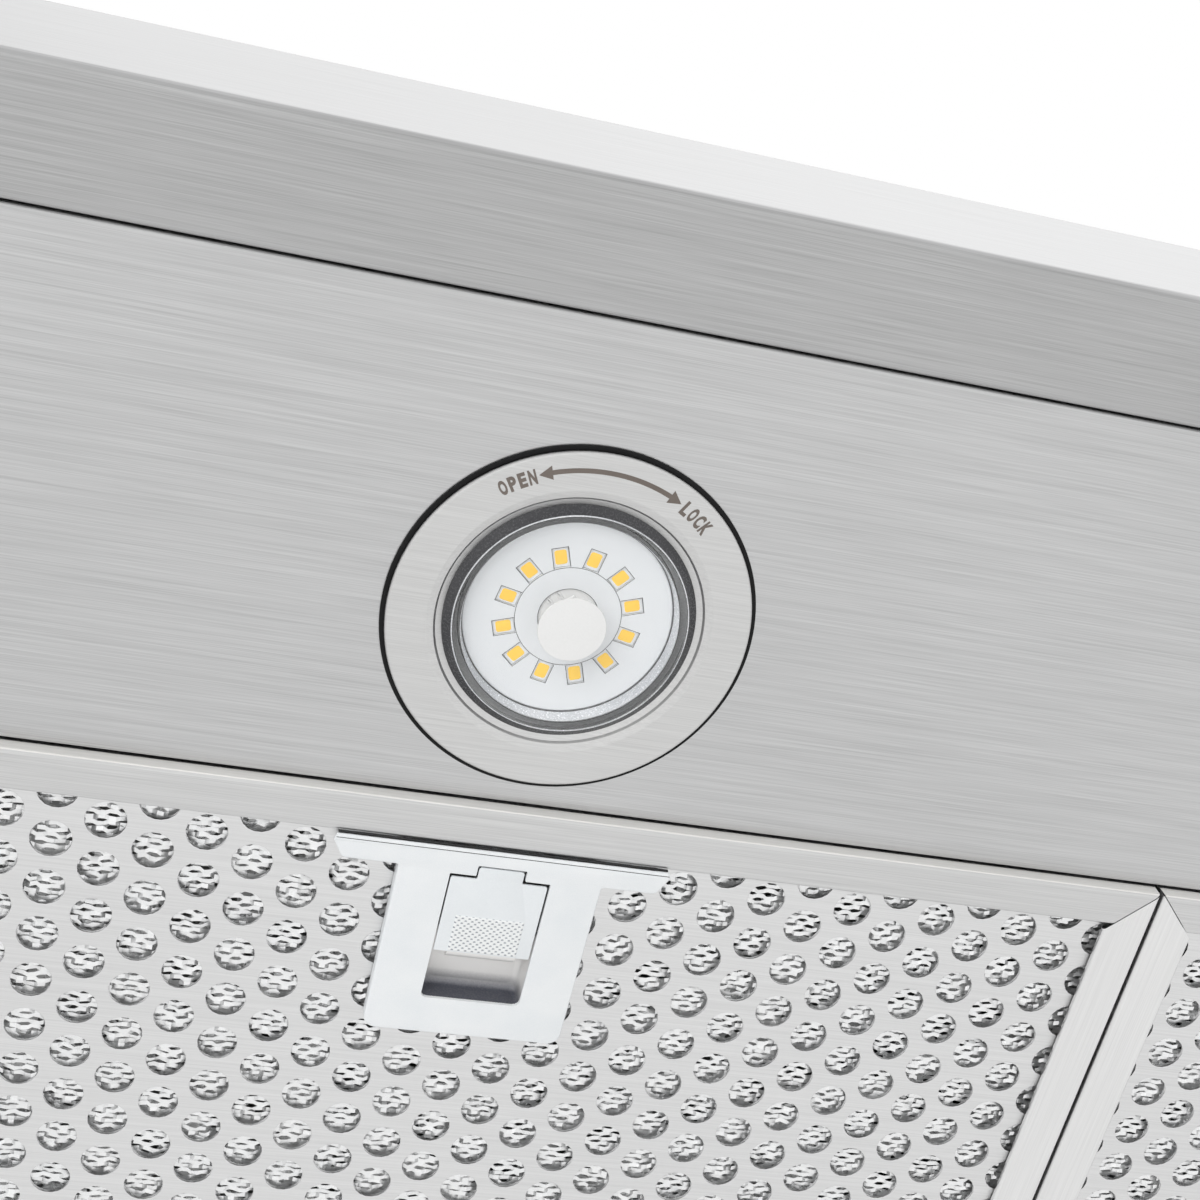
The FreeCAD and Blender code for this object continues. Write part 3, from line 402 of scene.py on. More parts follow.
def rectLoop(halfX, halfY, radius, steps=4, hold=1.5):
    # a rectangle's outline with round corners, anticlockwise, with a holding point beside each corner
    corners = np.array([(1, 1), (-1, 1), (-1, -1), (1, -1)], float)
    starts = np.arange(4) * math.pi / 2
    angles = starts[:, None] + np.linspace(0, math.pi / 2, steps + 1)[None]
    ring = np.stack([np.cos(angles), np.sin(angles)], -1) * radius
    ring += (corners * (halfX - radius, halfY - radius))[:, None]
    along = np.stack([-np.sin(angles), np.cos(angles)], -1)
    ring = np.concatenate([ring[:, :1] - along[:, :1] * hold, ring, ring[:, -1:] + along[:, -1:] * hold], 1)
    return ring.reshape(-1, 2)


def loftRect(rows, centre=(0, 0), steps=4, hold=1.5, capStart=False, capEnd=False, flip=False):
    # rounded rectangles one above another: each row is half width, half depth, corner radius and height
    loops = [rectLoop(hx, hy, max(r, 0.02), steps, hold) + centre for hx, hy, r, z in rows]
    heights = [np.full((len(loops[0]), 1), row[3]) for row in rows]
    points = np.stack([np.hstack([l, h]) for l, h in zip(loops, heights)])
    patches = [gridPatch(points, wrapCols=True, flip=flip)]
    if capStart:
        patches.append(fanPatch(points[0], points[0].mean(0), not flip))
    if capEnd:
        patches.append(fanPatch(points[-1], points[-1].mean(0), flip))
    return patches


def softBox(low, high, edge=0.3, corner=None, steps=3):
    # a block with rounded edges: its outline shrinks along a quarter circle at the foot and at the head
    low, high = np.array(low, float), np.array(high, float)
    half, centre = (high - low) / 2, (high + low) / 2
    corner = edge if corner is None else corner
    t = np.linspace(0, math.pi / 2, steps + 1)
    inset = edge * (1 - np.sin(t))
    lift = edge * (1 - np.cos(t))
    insets = np.concatenate([inset, inset[::-1]])
    heights = np.concatenate([low[2] + lift, high[2] - lift[::-1]])
    rows = [(half[0] - i, half[1] - i, corner - i, z) for i, z in zip(insets, heights)]
    return loftRect(rows, centre[:2], steps, min(0.6, half[0] / 2, half[1] / 2), True, True)


def settle(piece):
    # the piece's modifiers become its mesh
    mesh = bpy.data.meshes.new_from_object(piece.evaluated_get(bpy.context.evaluated_depsgraph_get()))
    piece.modifiers.clear()
    piece.data = mesh
    smoothBelow(mesh, sharpAngle)


def thicken(piece, skin):
    # wall on the inner side of a sheet's outer face
    wall = piece.modifiers.new("wall", "SOLIDIFY")
    wall.thickness = skin * mm
    wall.offset = -1
    wall.use_even_offset = True
    settle(piece)


def cutAway(piece, patches):
    # takes closed shapes out of a piece
    points, faces = joinPatches(patches)
    mesh = bpy.data.meshes.new("cutter")
    mesh.from_pydata(points * mm, [], [f for part in faces for f in part.tolist()])
    cutter = bpy.data.objects.new("cutter", mesh)
    bpy.context.scene.collection.objects.link(cutter)
    cut = piece.modifiers.new("cut", "BOOLEAN")
    cut.operation = "DIFFERENCE"
    cut.solver = "EXACT"
    cut.object = cutter
    bpy.context.view_layer.update()
    settle(piece)
    bpy.data.objects.remove(cutter)


def drum(centre, radius, z, along="z", steps=48):
    # a closed round bar between two heights along an axis
    t = np.arange(steps) * 2 * math.pi / steps
    ring = np.stack([np.cos(t), np.sin(t)], -1) * radius
    rows = [np.hstack([ring, np.full((steps, 1), h)]) for h in z]
    order = {"z": (0, 1, 2), "y": (0, 2, 1)}[along]
    points = np.stack(rows)[..., order] + np.array(centre, float)
    turned = along == "y"
    return [gridPatch(points, wrapCols=True, flip=turned),
            fanPatch(points[0], points[0].mean(0), not turned),
            fanPatch(points[1], points[1].mean(0), turned)]


# bottom band with its rim: one bent sheet that runs round four sides
bandSet = {
    "halfWidth": 450, "depth": 500, "height": 51, "skin": 0.8, "rim": 24, "upturn": 3.2, "flange": 12,
    "folds": (0, 1.2, 1.6, 1.0, 0), "corner": 1.6, "buttonX": (-56, -28, 0, 28, 56), "buttonRise": 25.5,
    "buttonHole": 8.3, "drill": 3,
}


def makeBand(s):
    # the profile gives, for each step along the bend, how far in from the outer face and how high
    profile = roundPath([(s["flange"], s["height"]), (0, s["height"]), (0, 0), (s["rim"], 0),
                         (s["rim"], s["upturn"])], s["folds"], hold=0.4)
    rows = [(s["halfWidth"] - inset, s["depth"] / 2 - inset, s["corner"] - inset, z) for inset, z in profile]
    band = meshPiece("skirtBand", loftRect(rows, (0, -s["depth"] / 2), steps=4, hold=3, flip=True),
                     bandSteel, "hood", ["skirt_band"], weld=0)
    thicken(band, s["skin"])
    holes = []
    for x in s["buttonX"]:
        ends = (-s["depth"] - s["drill"], -s["depth"] + s["drill"])
        holes += drum((x, 0, s["buttonRise"]), s["buttonHole"], ends, "y")
    cutAway(band, holes)


makeBand(bandSet)


# lamp panel: a long strip bent up at both edges, open for the lamps and the latch tongues
panelSet = {
    "halfWidth": 440, "front": -475, "rear": -375, "rise": 3.5, "flange": 14, "skin": 0.8, "fold": 1.0,
    "lampX": 282.2, "lampY": -415.3, "lampHole": 28, "lampDrill": (-2, 3),
    "notchX": (-284, 0, 284), "notch": 22, "notchReach": 2,
}


def makePanel(s):
    # the front corner is bent round a radius, the rear one is sharp
    top = s["rise"] + s["flange"]
    corners = [(s["front"], top), (s["front"], s["rise"]), (s["rear"], s["rise"]), (s["rear"], top)]
    profile = roundPath(corners, (0, s["fold"], 0, 0), hold=0.4)
    across = np.array([-s["halfWidth"], 0, s["halfWidth"]], float)
    points = np.empty((len(profile), len(across), 3))
    points[..., 0] = across[None]
    points[..., 1:] = profile[:, None]
    panel = meshPiece("lampPanel", [gridPatch(points, flip=True)], panelSteel, "hood", ["lamp_panel"])
    thicken(panel, s["skin"])
    cuts = []
    for side in (-1, 1):
        ends = [s["rise"] + z for z in s["lampDrill"]]
        cuts += drum((side * s["lampX"], s["lampY"], 0), s["lampHole"], ends, steps=64)
    reach = s["notchReach"]
    for x in s["notchX"]:
        cuts += softBox((x - s["notch"] / 2, s["rear"] - reach, s["rise"] + s["skin"]),
                        (x + s["notch"] / 2, s["rear"] + reach, top + reach), 0.05)
    cutAway(panel, cuts)


makePanel(panelSet)
print("band and lamp panel made")


# grease filters: frame, pierced face, crinkled mesh; the first is made and the others are its copies
filterSet = {
    "pitch": 284, "front": -374.4, "length": 349.2, "halfWidth": 141.6,
    "strip": 10, "frontStrip": 8.6, "stripThick": 1.5, "wall": 0.8, "top": 10.7, "outerFold": 0.9,
    "hem": 0.65, "mitreGap": 0.16, "stripHold": 0.5,
    "beadOut": 0.04, "highlightBead": (0.3, 3.3), "beadRounds": (0.3, 0, 0, 0.1), "beadEnd": 0.26,
    "tabX": 90, "tabHalf": 10, "tabReach": 8, "tabFoot": 3.5, "tabEdge": 0.2, "tabCorner": 2,
}


def sideStrip(outline, start, end, inward, gap, hold):
    # a bent strip whose ends are cut at 45 degrees: a point further in from the outer edge starts later
    start, end, inward = (np.array(v, float) for v in (start, end, inward))
    way = (end - start) / np.linalg.norm(end - start)
    length = np.linalg.norm(end - start)
    inset, z = outline[:, 0], outline[:, 1]
    first, last = inset + gap, length - inset - gap
    places = np.stack([first, first + hold, last - hold, last])
    flat = start + places[..., None] * way + inset[None, :, None] * inward
    points = np.concatenate([flat, np.broadcast_to(z[None, :, None], places.shape + (1,))], -1)
    ends = [(points[0], np.arange(len(z))[None, ::-1]), (points[-1], np.arange(len(z))[None])]
    return [gridPatch(points, wrapCols=True)] + ends


def makeFilterFrame(s):
    # outline of the bent strip: how far in from the outer edge, and how high
    fold, hem, wall, thick, top = s["outerFold"], s["hem"], s["wall"], s["stripThick"], s["top"]
    outlines = [roundPath([(0, 0), (wide, 0), (wide, thick), (wall, thick), (wall, top - wall),
                           (wide, top - wall), (wide, top), (0, top)],
                          (fold, hem, hem, 0, 0, 0, 0, fold), 4, True, 0.2)
                for wide in (s["frontStrip"], s["strip"], s["strip"], s["strip"])]
    left, right = -s["pitch"] - s["halfWidth"], -s["pitch"] + s["halfWidth"]
    front, rear = s["front"], s["front"] + s["length"]
    corners = [(left, front), (right, front), (right, rear), (left, rear)]
    inwards = [(0, 1), (-1, 0), (0, -1), (1, 0)]
    patches, kinds = [], []
    for k in range(4):
        made = sideStrip(outlines[k], corners[k], corners[(k + 1) % 4], inwards[k], s["mitreGap"],
                         s["stripHold"])
        patches += made
        kinds += [k % 2] * len(made)
    # pale bead along the front fold, a painted highlight
    out, (low, high) = -s["beadOut"], s["highlightBead"]
    shape = [(out, low), (wall / 2, low), (wall / 2, high), (out, high)]
    highlightBead = roundPath(shape, s["beadRounds"], 3, True, 0.05)
    made = sideStrip(highlightBead, corners[0], corners[1], inwards[0], s["beadEnd"], s["stripHold"])
    patches += made
    kinds += [2] * len(made)
    for side in (-1, 1):
        x = -s["pitch"] + side * s["tabX"]
        near = (x - s["tabHalf"], rear - wall, s["tabFoot"])
        far = (x + s["tabHalf"], rear + s["tabReach"], s["tabFoot"] + wall)
        made = softBox(near, far, s["tabEdge"], s["tabCorner"])
        patches += made
        kinds += [0] * len(made)
    frameOne = meshPiece("filterFrame1", patches, [filterSteelX, filterSteelYSheen, foldHighlightCream], "filter_1",
                         ["filter_frame_1"], kinds=kinds)
    copyAlong(frameOne, "filterFrame", "filter", "filter_frame", s["pitch"])


filterSteel = {**steelSet, "dark": (0.605, 0.606, 0.606), "light": (0.765, 0.766, 0.766)}
filterSteelX = brushedFinish("filterSteelX", filterSteel)
# side strips with the grain along Y, painted lighter than the front and rear strips as a painted sheen
filterSteelYSheen = brushedFinish("filterSteelYSheen", {**filterSteel, "grain": (1, 0, 1), "dark": (0.80, 0.80, 0.80),
                                              "light": (0.91, 0.91, 0.91)})
# pale, less metallic frame steel: a painted highlight on the front fold
foldHighlightCream = brushedFinish("foldHighlightCream", {**filterSteel, "dark": (0.80, 0.79, 0.765),
                                        "light": (0.93, 0.92, 0.895), "metal": 0.25})
makeFilterFrame(filterSet)
print("filter frames made")


# pierced face: six-sided tiles, each with a round hole whose edge is rolled in
faceSet = {
    "foot": 1.8, "head": 2.4, "holeRadius": 4.0, "roll": 0.16, "flatRing": 4.32, "pitch": 11, "steps": 18,
    "start": 13.8, "shift": -0.7, "inset": 1.1, "edge": 4.6, "reach": 2.9, "endReach": 0.1,
    "cutHalf": 11.35, "cutFront": 15.9, "cutRear": 45.6, "cutClear": 0.6,
}


def tileCentres(f, s):
    # staggered rows: columns stand pitch * sin 60 apart, and every other column is half a pitch back
    half, far = s["halfWidth"] - f["inset"], s["length"] - f["inset"]
    columnStep = f["pitch"] * math.sin(math.radians(60))
    columns = int(half / columnStep)
    rows = int(far / f["pitch"])
    column, row = np.meshgrid(np.arange(-columns, columns + 1), np.arange(-1, rows + 2), indexing="ij")
    across = f["shift"] + column * columnStep
    along = f["start"] + f["pitch"] * (row - 0.5 * (column % 2))
    keep = (np.abs(across) < half - f["edge"]) & (along > f["inset"] + f["edge"]) & (along < far - f["edge"])
    return np.stack([across[keep], along[keep]], -1)


def fitTileEdges(points, f, s, centres):
    # outer corners of the edge tiles move out to the plate's straight edges, and out of the latch opening
    half, far = s["halfWidth"] - f["inset"], s["length"] - f["inset"]
    sideways, lengthways = points[..., 0], points[..., 1]
    sideways[sideways > centres[:, 0].max() + f["reach"]] = half
    sideways[sideways < centres[:, 0].min() - f["reach"]] = -half
    last = centres[:, 1].max() - f["endReach"]
    first = centres[:, 1].min() + f["endReach"]
    lengthways[lengthways > last] = far
    lengthways[lengthways < first] = f["inset"]
    edges = [(0, -f["cutHalf"]), (0, f["cutHalf"]), (1, f["cutFront"]), (1, f["cutRear"])]
    gaps = np.stack([sideways + f["cutHalf"], f["cutHalf"] - sideways, lengthways - f["cutFront"],
                     f["cutRear"] - lengthways], -1)
    inside = (gaps > 0).all(-1)
    nearest = gaps.argmin(-1)
    for k, (axis, value) in enumerate(edges):
        points[..., axis][inside & (nearest == k)] = value
    # a tile that lies round a corner of the opening gets one point in that corner
    for side, end in ((0, 2), (0, 3), (1, 2), (1, 3)):
        corner = np.array([edges[side][1], edges[end][1]])
        bent = (inside & (nearest == side)).any(1) & (inside & (nearest == end)).any(1)
        distance = np.hypot(sideways - corner[0], lengthways - corner[1])
        closest = distance.argmin(1)
        points[np.nonzero(bent)[0], closest[bent], :2] = corner
    return points


def makeFilterFace(f, s):
    angle = np.arange(f["steps"]) * 2 * math.pi / f["steps"]
    way = np.stack([np.cos(angle), np.sin(angle)], -1)
    # distance from a six-sided tile's centre to its edge
    tileEdge = f["pitch"] / 2 / np.cos(np.mod(angle, math.pi / 3) - math.pi / 6)
    rolled = f["holeRadius"] + f["roll"] * (1 - math.sin(math.pi / 4))
    rows = [(tileEdge, f["foot"]), (f["flatRing"], f["foot"]), (f["holeRadius"] + f["roll"], f["foot"]),
            (rolled, f["foot"] + f["roll"] * (1 - math.cos(math.pi / 4))),
            (f["holeRadius"], f["foot"] + f["roll"]), (f["holeRadius"], f["head"]), (tileEdge, f["head"])]
    centres = tileCentres(f, s)
    away = np.stack([np.abs(centres[:, 0]) - f["cutHalf"],
                     np.maximum(f["cutFront"] - centres[:, 1], centres[:, 1] - f["cutRear"])], -1).max(-1)
    holed = centres[away >= f["edge"]]
    solid = centres[(away < f["edge"]) & (away > f["cutClear"])]
    flats = np.stack([way * np.broadcast_to(r, angle.shape)[:, None] for r, z in rows])
    heights = np.array([z for r, z in rows])
    points = np.empty((len(holed), len(rows), f["steps"], 3))
    points[..., :2] = holed[:, None, None] + flats[None]
    points[..., 2] = heights[None, :, None]
    for k in (0, len(rows) - 1):
        points[:, k] = fitTileEdges(points[:, k], f, s, centres)
    tile = gridFaces(len(rows), f["steps"], wrapCols=True)
    stride = len(rows) * f["steps"]
    faces = (tile[None] + np.arange(len(holed))[:, None, None] * stride).reshape(-1, 4)
    patches = [(points.reshape(-1, 3), faces)]
    # tiles beside the latch opening have no hole
    ring = np.empty((len(solid), f["steps"], 3))
    ring[..., :2] = solid[:, None] + flats[0][None]
    ring = fitTileEdges(ring, f, s, centres)
    for z, flip in ((f["foot"], True), (f["head"], False)):
        level = ring.copy()
        level[..., 2] = z
        middle = level.mean(1, keepdims=True)
        both = np.concatenate([level, middle], 1)
        a = np.arange(f["steps"])
        fan = np.stack([a, (a + 1) % f["steps"], np.full(f["steps"], f["steps"])], -1)
        fan = fan[:, ::-1] if flip else fan
        faces = (fan[None] + np.arange(len(solid))[:, None, None] * (f["steps"] + 1)).reshape(-1, 3)
        patches.append((both.reshape(-1, 3), faces))
    place = np.array([-s["pitch"], s["front"], 0])
    patches = [(p + place, q) for p, q in patches]
    face = meshPiece("filterFace1", patches, faceSteel, "filter_1", ["filter_face_1"])
    copyAlong(face, "filterFace", "filter", "filter_face", s["pitch"])
    print("holes in each filter face:", len(holed))


faceSteel = brushedFinish("faceSteel", {**filterSteel, "dark": (0.73, 0.731, 0.733),
                                        "light": (0.85, 0.851, 0.853)})
makeFilterFace(faceSet, filterSet)


# crinkled mesh inside the filters: slit and stretched foil, so each strand is a tilted zigzag ribbon
meshSet = {
    "layers": {
        "filterMeshA": {"node": "filter_mesh", "longWay": 4.3, "rowPitch": 1.3, "height": 3.5, "width": 0.80,
                        "tilt": -14, "seed": 7},
        "filterMeshB": {"node": None, "longWay": 3.7, "rowPitch": 1.6, "height": 5.6, "width": 0.70,
                        "tilt": -20, "seed": 19},
    },
    "bond": 0.64, "overlap": 1.12, "rowShift": 0.4, "lean": 12, "jitter": 0.06, "sharp": 14,
    "crinkle": 0.17, "waves": 14, "shortWave": 3.0, "longWave": 12.0,
    "inset": 1.4, "cutHalf": 12.0, "cutRear": 46.0,
}


def crinkleAt(x, y, s, chance):
    # sum of sine waves in all directions, of many lengths
    total = np.zeros_like(x)
    for k in range(s["waves"]):
        length = s["shortWave"] * (s["longWave"] / s["shortWave"]) ** chance.random()
        way, start = chance.random(2) * 2 * math.pi
        total += np.sin((x * math.cos(way) + y * math.sin(way)) * 2 * math.pi / length + start)
    return total / math.sqrt(s["waves"] / 2)


def makeFilterMesh(s, f):
    for name, layer in s["layers"].items():
        chance = np.random.default_rng(layer["seed"])
        half = f["halfWidth"] - s["inset"]
        rows = int((f["length"] - 2 * s["inset"]) / layer["rowPitch"]) - 1
        cols = 2 * int(2 * half / layer["longWay"] * 2)
        row, col = np.meshgrid(np.arange(rows), np.arange(cols), indexing="ij")
        # a strand runs straight for a bond's length at each bend, edge to edge with the next strand
        bend = col // 2
        high = (row + bend) % 2
        tilt, edge = math.radians(layer["tilt"]), layer["width"] / 2 * (1 - 2 * high)
        x = -half + bend * layer["longWay"] / 2 + s["bond"] * (2 * (col % 2) - 1)
        y = s["inset"] + layer["rowPitch"] * (row + high + s["rowShift"]) + edge * math.cos(tilt)
        z = layer["height"] + edge * math.sin(tilt) + s["crinkle"] * crinkleAt(x, y, s, chance)
        x, y, z = (v + s["jitter"] * chance.standard_normal(v.shape) for v in (x, y, z))
        lean = tilt + math.radians(s["lean"]) * chance.standard_normal(x.shape)
        offset = np.stack([np.zeros_like(x), np.cos(lean), np.sin(lean)], -1)
        offset = offset * layer["width"] * s["overlap"] / 2
        middle = np.stack([x, y, z], -1)
        points = np.stack([middle - offset, middle + offset], 1)
        ribbon = gridFaces(2, cols)
        faces = (ribbon[None] + (np.arange(rows) * 2 * cols)[:, None, None]).reshape(-1, 4)
        flat = points.reshape(-1, 3)
        centre = flat[faces].mean(1)
        faces = faces[(np.abs(centre[:, 0]) > s["cutHalf"]) | (centre[:, 1] > s["cutRear"])]
        used = np.zeros(len(flat), bool)
        used[faces] = True
        number = np.cumsum(used) - 1
        patch = (flat[used] + np.array([-f["pitch"], f["front"], 0]), number[faces][:, ::-1])
        stands = [layer["node"] + "_1"] if layer["node"] else ()
        first = meshPiece(name + "1", [patch], meshFoil, "filter_1", stands, s["sharp"],
                          weld=0)
        copyAlong(first, name, "filter", layer["node"], f["pitch"])


def foilFinish(name):
    # bright aluminium foil, a little duller in patches
    material, tree, shader, where = startFinish(name)
    cloud = noiseAt(tree, where, (90, 90, 90), detail=3)
    grain = noiseAt(tree, where, (2600, 2600, 2600), detail=2)
    tree.links.new(tint(tree, addUp(tree, cloud, grain, 0.4), (0.88, 0.89, 0.90), (0.97, 0.97, 0.97)),
                   shader.inputs["Base Color"])
    tree.links.new(spread(tree, cloud, 0.24, 0.40), shader.inputs["Roughness"])
    bumpBy(tree, shader, grain, 0.00002, 0.4)
    shader.inputs["Metallic"].default_value = 0.85
    return material


meshFoil = foilFinish("meshFoil")
makeFilterMesh(meshSet, filterSet)
print("filter faces and mesh made")


def revolve(profile, centre, steps=96, closed=True):
    # a profile of radius and height carried round a vertical axis
    turn = np.arange(steps) * 2 * math.pi / steps
    points = np.stack([profile[:, :1] * np.cos(turn), profile[:, :1] * np.sin(turn),
                       np.broadcast_to(profile[:, 1:], (len(profile), steps))], -1)
    return gridPatch(points + np.array([*centre, 0.0]), wrapRows=closed, wrapCols=True)


def movePatches(patches, shift):
    # every patch moved by the same step
    return [(p + np.array(shift, float), f) for p, f in patches]


def turnAbout(patches, degrees, centre):
    # turned about the upright axis and then moved to the centre
    c, s = math.cos(math.radians(degrees)), math.sin(math.radians(degrees))
    matrix = np.array([(c, -s, 0), (s, c, 0), (0, 0, 1)])
    return movePatches([(p @ matrix.T, f) for p, f in patches], (*centre, 0))


def plainFinish(name, dark, light, rough, size=400, metal=0.0, depth=0.00001, strength=0.3):
    # cloudy colour between two close shades, with fine grain in gloss and relief
    material, tree, shader, where = startFinish(name)
    cloud = noiseAt(tree, where, (size / 8,) * 3, detail=3)
    grain = noiseAt(tree, where, (size * 6,) * 3, detail=2)
    tree.links.new(tint(tree, addUp(tree, cloud, grain, 0.45), dark, light), shader.inputs["Base Color"])
    tree.links.new(spread(tree, grain, *rough), shader.inputs["Roughness"])
    bumpBy(tree, shader, grain, depth, strength)
    shader.inputs["Metallic"].default_value = metal
    return material


def setSocket(material, socket, value):
    material.node_tree.nodes["Principled BSDF"].inputs[socket].default_value = value


def glassFinish(name):
    # clear glass with a trace of haze
    material, tree, shader, where = startFinish(name)
    cloud = noiseAt(tree, where, (60, 60, 60))
    tree.links.new(spread(tree, cloud, 0.0, 0.03), shader.inputs["Roughness"])
    tree.links.new(tint(tree, cloud, (0.985, 0.99, 0.99), (1, 1, 1)), shader.inputs["Base Color"])
    shader.inputs["Transmission Weight"].default_value = 1.0
    shader.inputs["IOR"].default_value = 1.45
    # light on its way to what lies behind passes straight through
    path = tree.nodes.new("ShaderNodeLightPath")
    either = mathOf(tree, "MAXIMUM", path.outputs["Is Shadow Ray"], path.outputs["Is Diffuse Ray"])
    clear = tree.nodes.new("ShaderNodeBsdfTransparent")
    mix = tree.nodes.new("ShaderNodeMixShader")
    tree.links.new(either, mix.inputs["Fac"])
    tree.links.new(shader.outputs["BSDF"], mix.inputs[1])
    tree.links.new(clear.outputs["BSDF"], mix.inputs[2])
    tree.links.new(mix.outputs["Shader"], tree.nodes["Material Output"].inputs["Surface"])
    return material


bezelSteel = brushedFinish("bezelSteel", {**steelSet, "dark": (0.64, 0.64, 0.637),
                                          "light": (0.765, 0.765, 0.762), "rough": (0.34, 0.46), "along": 60})
blackRubber = plainFinish("blackRubber", (0.006, 0.006, 0.006), (0.014, 0.014, 0.015), (0.5, 0.65))
setSocket(blackRubber, "Specular IOR Level", 0.2)
sealBlack = plainFinish("sealBlack", (0.045, 0.046, 0.05), (0.10, 0.10, 0.105), (0.18, 0.32), metal=0.5)
sealGrey = plainFinish("sealGrey", (0.60, 0.61, 0.62), (0.78, 0.79, 0.80), (0.18, 0.32))
lampWhite = plainFinish("lampWhite", (0.88, 0.905, 0.93), (0.93, 0.95, 0.97), (0.35, 0.5))
frostWhite = plainFinish("frostWhite", (0.88, 0.88, 0.875), (0.93, 0.93, 0.925), (0.5, 0.6))
ledYellowGlow = plainFinish("ledYellowGlow", (1.0, 0.58, 0.05), (1.0, 0.68, 0.10), (0.4, 0.55), size=900)
# phosphor gets a faint painted glow that makes it brighter
setSocket(ledYellowGlow, "Emission Color", (1.0, 0.62, 0.10, 1))
setSocket(ledYellowGlow, "Emission Strength", 0.2)
# near-black painted shade lines for the gaps in the white dish
shadeLineGrey = plainFinish("shadeLineGrey", (0.05, 0.05, 0.055), (0.09, 0.09, 0.10), (0.5, 0.6))
lensGlass = glassFinish("lensGlass")
# pale speckled finish for the ground edge of the glass and for the painted highlight ring
glassEdge = plainFinish("glassEdge", (0.42, 0.44, 0.47), (0.97, 0.98, 1.0), (0.12, 0.3), size=500, metal=0.3)
letterInk = plainFinish("letterInk", (0.150, 0.125, 0.108), (0.195, 0.165, 0.145), (0.45, 0.6), size=1200)

# lamps, in heights from the band's foot and radii about each lamp's own axis
lampSides = (("left", -1), ("right", 1))
lampSet = {
    "x": panelSet["lampX"], "y": panelSet["lampY"],
    "bezel": [(23.0, 3.4), (24.4, 3.4), (25.5, 3.0), (25.9, 2.5), (27.4, 2.0), (35.0, 2.0), (35.0, 2.8),
              (27.6, 2.8), (25.0, 4.2), (25.0, 14.0), (24.2, 14.0), (24.2, 4.2), (23.0, 4.2)],
    "bezelRounds": (0.2, 0.3, 0.2, 0.2, 1.0, 0.6, 0.1, 0.5, 0.5, 0.1, 0.1, 0, 0.1),
    "lug": ((24.6, -3, 12.5), (26.8, 3, 14)), "lugEdge": 0.2, "lugCount": 3,
    "domeTop": 0.2, "domeBall": 180.0, "domeRadius": 21.8, "domeInside": 20.6, "domeSkin": 1.2,
    "wallRadius": 22.4, "wallInside": 21.0, "wallStart": (0.12, 0.1), "rimRadius": 23.9, "rim": (5.0, 5.9),
    "lensRounds": (0, 0.35, 0.2, 0.25, 0.25, 0.25, 0.25, 0),
    "collar": [(22.5, 1.75), (24.5, 3.38), (22.5, 3.38)], "collarRounds": (0.15, 0.1, 0.05),
    "shade": (20.45, 0.3, 6.05),
    "groundEdge": [(20.42, 6.1), (20.95, 3.2), (20.97, 3.2), (20.6, 6.1)],
    "highlightLine": [(22.43, 1.58), (22.7, 1.78), (22.5, 1.95), (22.43, 1.9)], "highlightRound": 0.05,
    "seal": [(21.2, 5.9), (23.9, 5.9), (23.9, 7.9), (21.2, 7.9)], "sealRounds": (0, 0.25, 0.25, 0),
    "ribRadius": 20.75, "ribDepth": 0.15, "ribCount": 3, "ribs": (7.85, 5.95),
    "frostRadius": 6.5, "frostOut": 0.12, "frostEdge": (0.06, 0.14),
    "reflector": 6.2, "dishSkin": 0.5, "dishRadius": 20.3, "dishTop": 7.7,
    "dishRounds": (0.1, 0.25, 0.1, 0.1, 0, 0.1),
    "ledCount": 12, "firstLed": 10.9, "ledCircle": 12.4, "window": (4.2, 3.2), "led": (4.1, 3.1),
    "ledFoot": 6.6, "phosphor": (2.9, 2.3), "phosphorOut": 0.08, "phosphorIn": 0.2,
    "lineWidth": 0.11, "lineOut": 0.03, "circleRadius": 10.25, "eyeRadius": 5.75, "eyeLine": 0.1,
    "plug": [(0, 6.62), (5.7, 6.62), (5.7, 7.0)], "connector": ((-3.05, -3.4, 6.25), (3.0, 3.4, 6.7)),
    "wireY": (-1.1, 1.1), "wireHalf": 0.42, "wireX": (-5.4, -3.0), "wireZ": (6.27, 6.75), "wireTurn": 44,
}


def sphereDrop(radius, ball):
    # how far a sphere's face has risen from its lowest point at a radius
    return ball - np.sqrt(ball * ball - radius * radius)


def ringBand(centre, radius, width, z, start=0, end=360, steps=96):
    # a flat ring or part of one, facing down
    turn = np.radians(np.linspace(start, end, steps + 1))
    radii = np.array([radius - width / 2, radius + width / 2])
    points = np.stack([radii[:, None] * np.cos(turn), radii[:, None] * np.sin(turn),
                       np.full((2, steps + 1), z)], -1)
    return gridPatch(points + np.array([*centre, 0.0]))


def flatRect(x, y, z):
    # a flat strip facing down
    across, along = np.meshgrid(np.array(x, float), np.array(y, float), indexing="ij")
    return gridPatch(np.stack([across, along, np.full_like(across, z)], -1))


def bezelPatches(centre, s):
    # pressed ring: flat face, rolled outer edge, sloping draw down to the lip that carries the glass,
    # and three lugs
    patches = [revolve(roundPath(s["bezel"], s["bezelRounds"], 6, True, 0.06), centre, 128)]
    for k in range(s["lugCount"]):
        patches += turnAbout(softBox(*s["lug"], s["lugEdge"]), 360 / s["lugCount"] * k, centre)
    return patches


